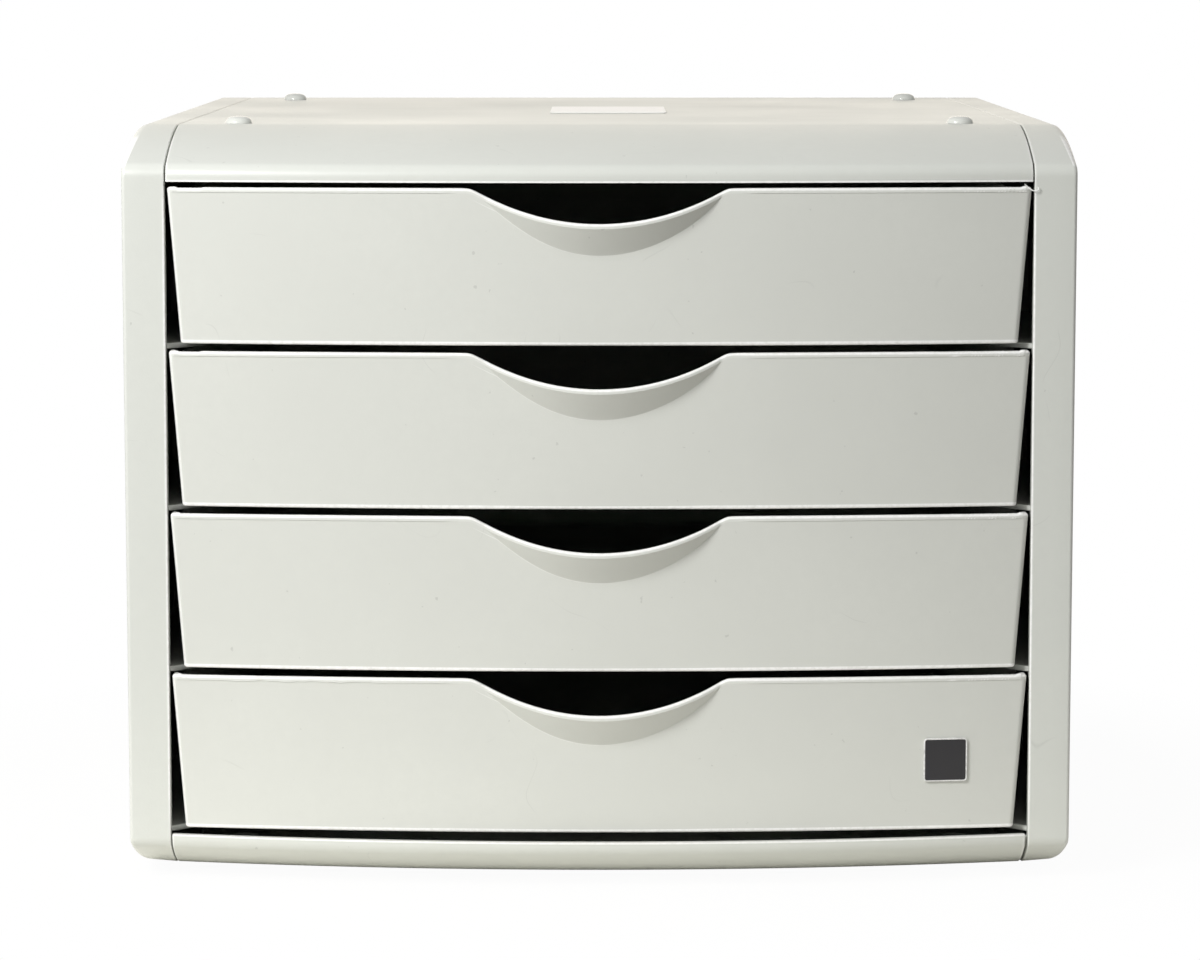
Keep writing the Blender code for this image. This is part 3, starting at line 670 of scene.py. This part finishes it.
def rim_wave(x, number):
    """How far the rim band's lower edge wanders: two slow sines on drawer 4's left, ripples at the right."""
    start, run, end, fade = WAVE_LEFT
    left = ease((start - x) / run) * ease((x - end) / fade) * (number == 4)
    right = ease((x - WAVE_RIGHT[0]) / WAVE_RIGHT[1]) * (number < 4)
    slow = 0.6 * np.sin(420 * x + 1.0) + 0.4 * np.sin(1130 * x)
    return WAVE_DEPTH * slow * left + WAVE_DEPTH * ripple(x, number + 5) * right


def flecks(x, number):
    """Pale flecks along the rim band's lower edge near its right end, where the ripples stand high."""
    return ease((ripple(1.3 * x, number + 3) - 0.3) / 0.25) * ease((x - FLECK_START) / FLECK_RUN)


def curl(skin, number):
    """A thin curl of flash at the rim's right end. Its heading turns with the fourth power of its length."""
    t = np.linspace(0.0, 1.0, 40)
    heading = CURL_HEADING + CURL_TURN * t**4
    step = CURL_LENGTH / len(t)
    inwards, forwards, up = CURL_START
    path = np.stack([
        TRAY_HALF - inwards + step * np.cumsum(np.cos(heading)),
        FRONT - forwards + CURL_BOW * np.sin(7 * t),
        DRAWERS[number][1].z + up + step * np.cumsum(np.sin(heading)),
    ], 1)
    a = np.linspace(0, 2 * pi, 9)[:-1]
    side = np.stack([-np.sin(heading), np.zeros(len(t)), np.cos(heading)], 1)
    across = np.array([0.0, 1.0, 0.0])
    radius = CURL_RADIUS * np.sqrt(np.maximum(1 - (2 * t - 1) ** 8, 0.02))[:, None, None]
    ring = side[:, None, :] * np.cos(a)[None, :, None] + across * np.sin(a)[None, :, None]
    skin.grid(path[:, None, :] + radius * ring, 1.0)


def tray(d, number):
    """The drawer's skin: rings up the outside, over the rim, and down to the floor inside."""
    inset, fixed, rim_share, foot_share, wear = tray_rings(d)
    x, y = tray_plan(d, inset)
    front = np.isnan(y)
    drop = scoop_drop(d, x)
    side_rim = DRAWER_HEIGHT - d.rim_drop * ease((np.nan_to_num(y) - d.rim_start) / d.rim_run)
    rim = np.where(front, DRAWER_HEIGHT - drop, side_rim)
    foot = rim - np.where(front, np.maximum(lip_height(d, x), LEAST_LIP), LEAST_LIP)
    height = fixed + rim_share * rim + foot_share * foot
    over = wear * rim_share
    outer = np.isclose(inset, 0)
    band = outer & (rim_share > 0.98)
    height = height + np.where(front, flash(x, number) * over + rim_wave(x, number) * band, 0)
    y = np.where(front, front_depth(d, x, height, inset), y)
    standing = np.where(over > 0, np.clip(1 - inset / (d.wall / 2), 0, 1), 0)
    y = y - np.where(front, d.rim_proud * standing * ease((np.abs(x) - BAND_START) / BAND_RUN), 0)
    draft = d.taper / DRAWER_HEIGHT * (DRAWER_HEIGHT - height)
    pulled = x * (1 - draft / TRAY_HALF)
    place_y = y - draft * np.clip(y / TRAY_LENGTH, 0, 1)
    low = DRAWERS[number][0].z
    points = np.stack([pulled, FRONT + place_y, low + height], -1)
    # Painted highlight on the front's left upright edges only, the side the lamp lights.
    corner = ease((np.abs(x) - (TRAY_HALF - CORNER_HIGHLIGHT)) / CORNER_HIGHLIGHT_FADE) * (y < CORNER_HIGHLIGHT_DEPTH)
    shown = np.maximum(wear, np.where(x < 0, 0.8, 0.0) * corner * (inset < d.wall / 2))
    shown = np.maximum(shown, flecks(x, number) * (outer & np.isclose(fixed, -d.rim_band)))
    # Painted highlight: a pale line in the bend under the lip, on its left part.
    crease = outer & np.isclose(foot_share, 1.0)
    fade = ease(drop / CREASE_HIGHLIGHT_DROP) * ease((CREASE_HIGHLIGHT_END - x) / CREASE_HIGHLIGHT_FADE)
    shown = np.maximum(shown, 0.5 * crease * fade)
    return Skin(points, np.clip(shown, 0, 1))


TAB_DROP = 0.001
TAB_HEIGHT = 0.009
TAB_REACH = 0.004
TAB_ROOT = 0.0011
TAB_ENDS = (0.2646, 0.2706)


def stop_tabs(skin, d, number):
    """Tabs on the tray's sides, with a sloped underside, that meet the front strips at full travel."""
    low = DRAWERS[number][0].z
    top = DRAWER_HEIGHT - d.rim_drop - TAB_DROP
    bottom = top - TAB_HEIGHT
    wall = TRAY_HALF - d.taper / DRAWER_HEIGHT * (DRAWER_HEIGHT - bottom)
    sloped = [(-TAB_ROOT, 0), (0, 0), (TAB_REACH, TAB_REACH)]
    shape = sloped + [(TAB_REACH, TAB_HEIGHT), (-TAB_ROOT, TAB_HEIGHT)]
    for side in (1, -1):
        ring = np.array([(side * (wall + a), low + bottom + b) for a, b in shape])
        rows = [np.column_stack([ring[:, 0], np.full(5, FRONT + y), ring[:, 1]]) for y in TAB_ENDS]
        skin.grid(rows)


# Small pieces

BADGE_GROWTH = 0.0003
BADGE_ASIDE = 0.0012
BADGE_SEAT = 0.0001
BADGE_CORNER = 0.0011
BADGE_RINGS = (
    (0.0, 0.0, 1.0), (0.0, 0.00055, 1.0), (0.0001, 0.0007, 1.0), (0.0004, 0.0007, 1.0),
    (0.0005, 0.00058, 0.0), (0.001, 0.00058, 0.0), (0.004, 0.00058, 0.0), (0.0062, 0.00058, 0.0),
)
LEAST_BADGE_CORNER = 0.0002
STUD_RADIUS = 0.0042
STEM_RADIUS = 0.002
STEM_BORE = 0.0014
FOOT_RADIUS = 0.006
FOOT_EDGE = 0.0004
FOOT_SEAT = 0.0002
POLE = 0.00001
LABEL_CORNER = 0.0016
LABEL_EDGE = 0.00004
LABEL_EDGE_SHARE = 0.999


def middle_of(name):
    """Where a node's upright axis stands."""
    low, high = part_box(name)
    return (low.x + high.x) / 2, (low.y + high.y) / 2


def turned(skin, centre, level, profile, up):
    """A turned piece: its profile (radius, height over the level) carried round its axis."""
    a = np.linspace(0, 2 * pi, 49)[:-1][None, :]
    radius, height = profile[:, :1], profile[:, 1:]
    x = centre[0] + radius * np.cos(a)
    y = centre[1] + radius * np.sin(a)
    z = np.broadcast_to(level + up * height, x.shape)
    skin.grid(np.stack([x, y, z], -1))
    return skin


def stud_profile(low, high):
    """A stud from its stem up: shoulder, and a dome flattened by powers of cosine and sine."""
    t = np.linspace(0, pi / 2, 14)
    foot, crown = low.z - TOP, high.z - TOP
    dome = np.stack([STUD_RADIUS * np.cos(t) ** 0.7, crown * np.sin(t) ** 0.9], 1)
    stem = [(STEM_BORE, foot), (STEM_RADIUS, foot), (STEM_RADIUS, 2 * POLE), (STUD_RADIUS, 2 * POLE)]
    return np.concatenate([stem, dome[1:-1], [(POLE, crown)]])


def foot_profile():
    """A foot from its seat down, with a rounded edge."""
    t = np.linspace(0, pi / 2, 14)
    seat = [(POLE, -FOOT_SEAT), (FOOT_RADIUS, -FOOT_SEAT)]
    edge = FOOT_EDGE * np.stack([np.cos(t), np.sin(t)], 1) + (FOOT_RADIUS - FOOT_EDGE, BOTTOM - FOOT_EDGE)
    return np.concatenate([seat, edge, [(POLE, BOTTOM)]])


def rounded_square(half_x, half_y, radius):
    """Outline of a square with rounded corners, anticlockwise."""
    corners = []
    for k, (sx, sy) in enumerate(((1, 1), (-1, 1), (-1, -1), (1, -1))):
        a = pi / 2 * (k + np.linspace(0, 1, 8))
        centre = np.array([sx * (half_x - radius), sy * (half_y - radius)])
        corners.append(centre + radius * np.stack([np.cos(a), np.sin(a)], 1))
    return np.concatenate(corners)


def badge(d):
    """The bare plate on drawer 4: rounded squares, each shrunk and raised, that follow the front's bulge."""
    low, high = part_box("badge_plate")
    half = (high.z - low.z) / 2 + BADGE_GROWTH
    centre = (low.x + high.x) / 2 + BADGE_ASIDE
    rows, wear = [], []
    for shrink, out, wear_and_highlight in BADGE_RINGS:
        corner = max(BADGE_CORNER - shrink, LEAST_BADGE_CORNER)
        ring = rounded_square(half - shrink, half - shrink, corner)
        x, z = ring[:, 0] + centre, ring[:, 1] + (low.z + high.z) / 2
        spread = TRAY_HALF - d.taper / DRAWER_HEIGHT * (DRAWERS[4][1].z - z)
        depth = FRONT - arc_over(x / spread * TRAY_HALF, TRAY_HALF, d.bulge) - BADGE_SEAT - out
        rows.append(np.stack([x, depth, z], 1))
        wear.append(np.full(len(ring), wear_and_highlight))
    return Skin(rows, wear)


# Finishes

PLASTIC_IOR = 1.49
SHELL_PITCH = 1500.0
TRAY_PITCH = 1900.0
TRAY_GRAIN_SHARE = 0.6
PLAIN_DEPTH = 0.00003
STUD_GREY = (0.66, 0.67, 0.63)
FOOT_BLACK = (0.075, 0.075, 0.075)
PAPER_WHITE = (0.94, 0.94, 0.925)
BADGE_DARK = (0.035, 0.034, 0.037)
BADGE_RIM = (0.85, 0.85, 0.83)


def node(tree, kind, **values):
    """A new node with its settings."""
    made = tree.nodes.new(kind)
    for key, value in values.items():
        setattr(made, key, value)
    return made


def feed(tree, values, made, sockets):
    """Gives each socket of a node its value: another node's output, a number or a colour."""
    for socket, value in zip(sockets, values):
        if isinstance(value, bpy.types.NodeSocket):
            tree.links.new(value, made.inputs[socket])
        elif isinstance(value, (int, float)):
            made.inputs[socket].default_value = value
        else:
            made.inputs[socket].default_value = (*value, 1.0)


def noise(tree, vector, scale, detail=3.0, roughness=0.5):
    """Cloudy noise between 0 and 1, with so many clouds a metre."""
    made = node(tree, "ShaderNodeTexNoise")
    feed(tree, (vector, scale, detail, roughness), made, ("Vector", "Scale", "Detail", "Roughness"))
    return made.outputs["Fac"]


def ranged(tree, value, low, high, out_low, out_high):
    """A value carried in a straight line from one range to another, and held at its ends."""
    made = node(tree, "ShaderNodeMapRange")
    feed(tree, (value, low, high, out_low, out_high), made, range(5))
    return made.outputs["Result"]


def worked_out(tree, operation, *values):
    """One step of arithmetic on numbers or the outputs of nodes."""
    made = node(tree, "ShaderNodeMath", operation=operation)
    feed(tree, values, made, range(len(values)))
    return made.outputs[0]


def scaled(tree, a, b):
    """The product of two outputs."""
    return worked_out(tree, "MULTIPLY", a, b)


def darker(colour, share):
    """A colour times a share."""
    return tuple(channel * share for channel in colour)


def mixed(tree, fac, a, b):
    """Blends two colours; each may be a colour or the output of a node."""
    made = node(tree, "ShaderNodeMix", data_type="RGBA")
    feed(tree, (fac, a, b), made, (0, 6, 7))
    return made.outputs[2]


def with_nodes(name):
    """A new material, its tree, its shader and its Object coordinates."""
    made = bpy.data.materials.new(name)
    made.use_nodes = True
    tree = made.node_tree
    place = node(tree, "ShaderNodeTexCoord").outputs["Object"]
    return made, tree, tree.nodes["Principled BSDF"], place


def raised(tree, shader, height, depth, strength):
    """Bumps the shader's surface by a height, with a depth in metres."""
    bump = node(tree, "ShaderNodeBump")
    feed(tree, (strength, depth, height), bump, ("Strength", "Distance", "Height"))
    tree.links.new(bump.outputs["Normal"], shader.inputs["Normal"])


def moulded(name, base, wear_and_highlight, roughness, grain, pitch):
    """Moulded plastic: cloudy colour, specks, hairlines, pale edges (chipped wear and painted highlights) and
    a spark-eroded grain.
    """
    made, tree, shader, place = with_nodes(name)
    cloud = noise(tree, place, 14.0, 4.0, 0.6)
    fine = noise(tree, place, 300.0, 3.0, 0.65)
    speck = noise(tree, place, 430.0, 2.0, 0.4)
    tint = mixed(tree, ranged(tree, cloud, 0.3, 0.7, 0.0, 1.0), base, darker(base, 0.95))
    tint = mixed(tree, ranged(tree, fine, 0.32, 0.72, 0.0, 0.6), tint, darker(base, 0.955))
    tint = mixed(tree, ranged(tree, speck, 0.76, 0.79, 0.0, 0.4), tint, darker(base, 0.6))
    tint = mixed(tree, hairlines(tree, place), tint, darker(base, 0.8))
    edge = node(tree, "ShaderNodeAttribute", attribute_name="wear_and_highlight").outputs["Fac"]
    chip = noise(tree, place, 640.0, 3.0, 0.6)
    # Pale edges: the per-point paleness blends towards the pale colour, for wear and for painted highlights.
    tint = mixed(tree, scaled(tree, edge, ranged(tree, chip, 0.25, 0.6, 0.55, 1.0)), tint, wear_and_highlight)
    gloss = ranged(tree, cloud, 0.25, 0.75, roughness - 0.05, roughness + 0.06)
    chipped = scaled(tree, ranged(tree, edge, 0.0, 1.0, 0.0, 1.6), chip)
    raised(tree, shader, worked_out(tree, "ADD", noise(tree, place, pitch, 2.0, 0.6), chipped), grain, 0.6)
    feed(tree, (tint, gloss, PLASTIC_IOR), shader, ("Base Color", "Roughness", "IOR"))
    return made


def hairlines(tree, place):
    """A few fine scratches: thin contour lines of one slow noise, shown only where another is high."""
    slow = worked_out(tree, "SUBTRACT", noise(tree, place, 31.0, 1.0), 0.5)
    line = ranged(tree, worked_out(tree, "ABSOLUTE", slow), 0.0, 0.0035, 0.5, 0.0)
    return scaled(tree, line, ranged(tree, noise(tree, place, 47.0, 1.0), 0.62, 0.68, 0.0, 1.0))


def plain(name, base, roughness, spread, pitch=900.0):
    """A small finish: one colour with fine blotches and a slight bump."""
    made, tree, shader, place = with_nodes(name)
    blotch = noise(tree, place, pitch)
    tint = mixed(tree, ranged(tree, blotch, 0.3, 0.7, 0.0, 1.0), base, darker(base, 1 - spread))
    gloss = ranged(tree, blotch, 0.3, 0.7, roughness * 0.85, roughness * 1.15)
    feed(tree, (tint, gloss), shader, ("Base Color", "Roughness"))
    raised(tree, shader, blotch, PLAIN_DEPTH, 0.4)
    return made


def shell_finish(scene):
    """The plastic of roof, base, back and side panels, made once."""
    f = scene.drawer_finishes
    return bpy.data.materials.get("shell_plastic") or moulded(
        "shell_plastic", f.shell, f.wear_and_highlight, f.shell_roughness, f.grain, SHELL_PITCH
    )


def tray_finish(scene):
    """The plastic of the drawers."""
    f = scene.drawer_finishes
    grain = f.grain * TRAY_GRAIN_SHARE
    return moulded("tray_plastic", f.tray, f.wear_and_highlight, f.tray_roughness, grain, TRAY_PITCH)


# Operators


class BuildSidePanels(bpy.types.Operator):
    """Skin both side panels with their strips, seats, ledges and ribs."""

    bl_idname = "file_drawer.side_panels"
    bl_label = "Side panels"

    def execute(self, context):
        scene = context.scene
        finish = shell_finish(scene)
        for name, side in (("left_side_panel", -1), ("right_side_panel", 1)):
            skin = side_panel(scene.drawer_housing, scene.drawer_trays, side)
            skin.build(name + "_skin", finish, "housing", "light_grey_plastic", name)
        return {"FINISHED"}


class BuildRoof(bpy.types.Operator):
    """Skin the roof with its swept nose and its cross ribs."""

    bl_idname = "file_drawer.roof"
    bl_label = "Roof"

    def execute(self, context):
        h = context.scene.drawer_housing
        skin = bent_shell(h, cover_line(h), h.nose_bulge, 0.0, nose_line(h)[-1, 0])
        half = HALF_WIDTH - h.side_width - h.rail - ROOF_RIB_GAP
        foot = TOP - h.wall - ROOF_RIB_DEPTH
        for y in np.linspace(ROOF_RIB_FRONT, DEPTH - ROOF_RIB_REAR, 5)[1:-1]:
            skin.box((-half, FRONT + y, foot), (half, FRONT + y + RIB_WALL, TOP - h.wall / 2))
        finish = shell_finish(context.scene)
        skin.build("roof_skin", finish, "housing", "light_grey_plastic", "top_cover")
        return {"FINISHED"}


class BuildBase(bpy.types.Operator):
    """Skin the base with its rolled lip."""

    bl_idname = "file_drawer.base"
    bl_label = "Base"

    def execute(self, context):
        h = context.scene.drawer_housing
        roll = roll_line(h)[-1, 0]
        skin = bent_shell(h, base_line(h), h.roll_bulge, roll, roll + h.run_out, h.base_aside)
        sockets = Skin()
        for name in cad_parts:
            if name.startswith("stacking_stud"):
                wall = [(0.0, -h.wall), (h.socket, -h.wall), (h.socket, 2 * h.wall), (0.0, 2 * h.wall)]
                turned(sockets, middle_of(name), BOTTOM, np.array(wall) + (POLE, 0), 1)
        finish = shell_finish(context.scene)
        skin.build("base_skin", finish, "housing", "light_grey_plastic", "base_panel", holes=sockets)
        return {"FINISHED"}


class BuildDrawers(bpy.types.Operator):
    """Skin the four drawers, each riding on its own body."""

    bl_idname = "file_drawer.drawers"
    bl_label = "Drawers"

    def execute(self, context):
        d = context.scene.drawer_trays
        finish = tray_finish(context.scene)
        for number in DRAWERS:
            name = f"drawer_{number}"
            skin = tray(d, number)
            stop_tabs(skin, d, number)
            if number == 1:
                curl(skin, number)
            skin.build(name + "_skin", finish, name, "drawer_plastic", name, smooth=24.0)
        return {"FINISHED"}


class BuildPlugs(bpy.types.Operator):
    """Turn the glossy stacking studs and the rubber feet."""

    bl_idname = "file_drawer.plugs"
    bl_label = "Studs and feet"

    def execute(self, context):
        stud = plain("stud_plastic", STUD_GREY, 0.12, 0.04)
        rubber = plain("foot_rubber", FOOT_BLACK, 0.75, 0.3)
        made = 0
        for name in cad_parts:
            if name.startswith("stacking_stud"):
                skin = turned(Skin(), middle_of(name), TOP, stud_profile(*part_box(name)), 1)
                skin.build(name + "_skin", stud, "housing", "stud_plastic", name)
                made += 1
            elif name.startswith("rubber_foot"):
                skin = turned(Skin(), middle_of(name), BOTTOM, foot_profile(), -1)
                skin.build(name + "_skin", rubber, "housing", "foot_rubber", name)
                made += 1
        if made != 8:
            raise RuntimeError(f"{made} studs and feet, and not 8")
        return {"FINISHED"}


class BuildLabels(bpy.types.Operator):
    """Lay the blank roof label and set the bare badge plate."""

    bl_idname = "file_drawer.labels"
    bl_label = "Label and badge"

    def execute(self, context):
        low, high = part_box("top_label")
        half_x, half_y = (high.x - low.x) / 2, (high.y - low.y) / 2
        ring = rounded_square(half_x, half_y, LABEL_CORNER)
        centre = middle_of("top_label")
        levels = ((1, low.z), (1, high.z - LABEL_EDGE), (LABEL_EDGE_SHARE, high.z))
        rows = [np.column_stack([ring * s + centre, np.full(len(ring), z)]) for s, z in levels]
        paper = plain("label_paper", PAPER_WHITE, 0.36, 0.015, 400.0)
        Skin(rows).build("top_label_skin", paper, "housing", "label_paper", "top_label")
        dark = moulded("badge_plastic", BADGE_DARK, BADGE_RIM, 0.3, 0.00002, 2500.0)
        plate = badge(context.scene.drawer_trays)
        plate.build("badge_skin", dark, "drawer_4", "badge_plastic", "badge_plate")
        return {"FINISHED"}


class DressBack(bpy.types.Operator):
    """Give the back panel its finish."""

    bl_idname = "file_drawer.back"
    bl_label = "Back panel"

    def execute(self, context):
        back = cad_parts["back_panel"]
        back.data.materials.clear()
        back.data.materials.append(shell_finish(context.scene))
        return {"FINISHED"}


WHITE = (1.0, 1.0, 1.0)
WARM_WHITE = (1.07, 1.0, 0.89)
REAR_POWER = 3.0
RIGHT_SHARE = 0.6
FLOOR_SHARES = (0.02, 0.1, 0.3, 1.0)
FLOOR_ROUGHNESS = 0.9
SHADOW_FADE = (0.2, 0.3)
SHADOW_SHARE = 0.96
SENSOR_MM = 36.0
NEAREST_SEEN = 0.05


class BuildStudio(bpy.types.Operator):
    """Set the floor, the room's light, the lamp and the camera."""

    bl_idname = "file_drawer.studio"
    bl_label = "Studio"

    def execute(self, context):
        scene = context.scene
        studio = scene.drawer_studio
        make_floor(studio)
        make_room(scene, studio)
        make_camera(scene, studio)
        soft_lamp("key_lamp", studio.key_place, studio.key_target, studio.key, studio.key_size)
        scene.view_settings.view_transform = "Standard"
        return {"FINISHED"}


def soft_lamp(name, place, target, power, size):
    """A square lamp at a place, with its -Z axis turned towards a target."""
    lamp = bpy.data.lights.new(name, "AREA")
    lamp.energy, lamp.size = power, size
    holder = bpy.data.objects.new(name, lamp)
    bpy.context.scene.collection.objects.link(holder)
    holder.location = place
    holder.rotation_euler = (Vector(target) - Vector(place)).to_track_quat("-Z", "Y").to_euler()
    holder.visible_camera = False


def make_floor(studio):
    """A disc, pale near the box. The camera sees it almost as white light, with the shadow left in it."""
    a = np.linspace(0, 2 * pi, 97)[:-1][None, :]
    r = studio.floor_radius * np.array(FLOOR_SHARES)[:, None]
    z = np.zeros_like(r * a)
    skin = Skin()
    skin.grid(np.stack([r * np.cos(a), r * np.sin(a), z], -1), caps=(True, False))
    floor = skin.placed("floor")
    made, tree, shader, place = with_nodes("floor_white")
    away = node(tree, "ShaderNodeVectorMath", operation="LENGTH")
    tree.links.new(place, away.inputs[0])
    away = away.outputs["Value"]
    far = ranged(tree, away, studio.pale_reach, studio.far_reach, 0.0, 1.0)
    tint = mixed(tree, far, studio.pale_floor, studio.far_floor)
    feed(tree, (tint, FLOOR_ROUGHNESS), shader, ("Base Color", "Roughness"))
    glow = node(tree, "ShaderNodeEmission")
    glow.inputs["Color"].default_value = (*WHITE, 1.0)
    path = node(tree, "ShaderNodeLightPath").outputs["Is Camera Ray"]
    seen = scaled(tree, path, ranged(tree, away, *SHADOW_FADE, SHADOW_SHARE, 1.0))
    blend = node(tree, "ShaderNodeMixShader")
    feed(tree, (seen, shader.outputs[0], glow.outputs[0]), blend, range(3))
    tree.links.new(blend.outputs[0], tree.nodes["Material Output"].inputs["Surface"])
    floor.data.materials.append(made)


def make_room(scene, studio):
    """The room: light that is dimmer on the right, a warm band low behind the box, and white in view."""
    world = bpy.data.worlds.new("room")
    scene.world = world
    world.use_nodes = True
    tree = world.node_tree
    back = tree.nodes["Background"]
    axes = node(tree, "ShaderNodeSeparateXYZ")
    tree.links.new(node(tree, "ShaderNodeTexCoord").outputs["Generated"], axes.inputs[0])
    low = ranged(tree, axes.outputs["Z"], 0.0, 1.0, 1.0, 0.0)
    rear = worked_out(tree, "POWER", ranged(tree, axes.outputs["Y"], 0.0, 1.0, 0.0, 1.0), REAR_POWER)
    behind = scaled(tree, scaled(tree, low, low), rear)
    path = node(tree, "ShaderNodeLightPath").outputs["Is Camera Ray"]
    dim = ranged(tree, axes.outputs["X"], 0.1, 1.0, 1.0, RIGHT_SHARE)
    lit = ranged(tree, behind, 0.0, 1.0, studio.sky, studio.sky + studio.horizon)
    strength = node(tree, "ShaderNodeMix", data_type="FLOAT")
    feed(tree, (path, scaled(tree, dim, lit), 1.0), strength, (0, 2, 3))
    warm = mixed(tree, ranged(tree, behind, 0.0, 0.3, 0.0, 1.0), WHITE, WARM_WHITE)
    feed(tree, (mixed(tree, path, warm, WHITE), strength.outputs[0]), back, ("Color", "Strength"))


def make_camera(scene, studio):
    """The camera stands square in front of the box and looks a little down."""
    camera = bpy.data.cameras.new("camera")
    camera.sensor_width = SENSOR_MM
    camera.lens = studio.lens
    camera.clip_start = NEAREST_SEEN
    holder = bpy.data.objects.new("camera", camera)
    scene.collection.objects.link(holder)
    rim = DRAWERS[1][1].z
    holder.location = (studio.camera_x, FRONT - studio.camera_distance, rim + studio.camera_rise)
    holder.rotation_euler = (pi / 2 - studio.camera_dip, 0.0, 0.0)
    scene.camera = holder


class FileDrawerPanel(bpy.types.Panel):
    """Lists the operators that build the box."""

    bl_idname = "VIEW3D_PT_file_drawer"
    bl_label = "File drawer"
    bl_space_type = "VIEW_3D"
    bl_region_type = "UI"
    bl_category = "File drawer"

    def draw(self, context):
        for operator in OPERATORS:
            self.layout.operator(operator.bl_idname)


OPERATORS = (
    BuildSidePanels, BuildRoof, BuildBase, DressBack, BuildDrawers, BuildPlugs, BuildLabels, BuildStudio,
)
SETTINGS = {
    "drawer_housing": HousingShape,
    "drawer_trays": DrawerShape,
    "drawer_finishes": Finishes,
    "drawer_studio": Studio,
}


def register():
    for group in SETTINGS.values():
        bpy.utils.register_class(group)
    for name, group in SETTINGS.items():
        setattr(bpy.types.Scene, name, PointerProperty(type=group))
    for operator in OPERATORS:
        bpy.utils.register_class(operator)
    bpy.utils.register_class(FileDrawerPanel)


def unregister():
    bpy.utils.unregister_class(FileDrawerPanel)
    for operator in reversed(OPERATORS):
        bpy.utils.unregister_class(operator)
    for name, group in reversed(SETTINGS.items()):
        delattr(bpy.types.Scene, name)
        bpy.utils.unregister_class(group)


def main():
    register()
    for step in ("side_panels", "roof", "base", "back", "drawers", "plugs", "labels", "studio"):
        getattr(bpy.ops.file_drawer, step)()


if __name__ == "__main__":
    main()
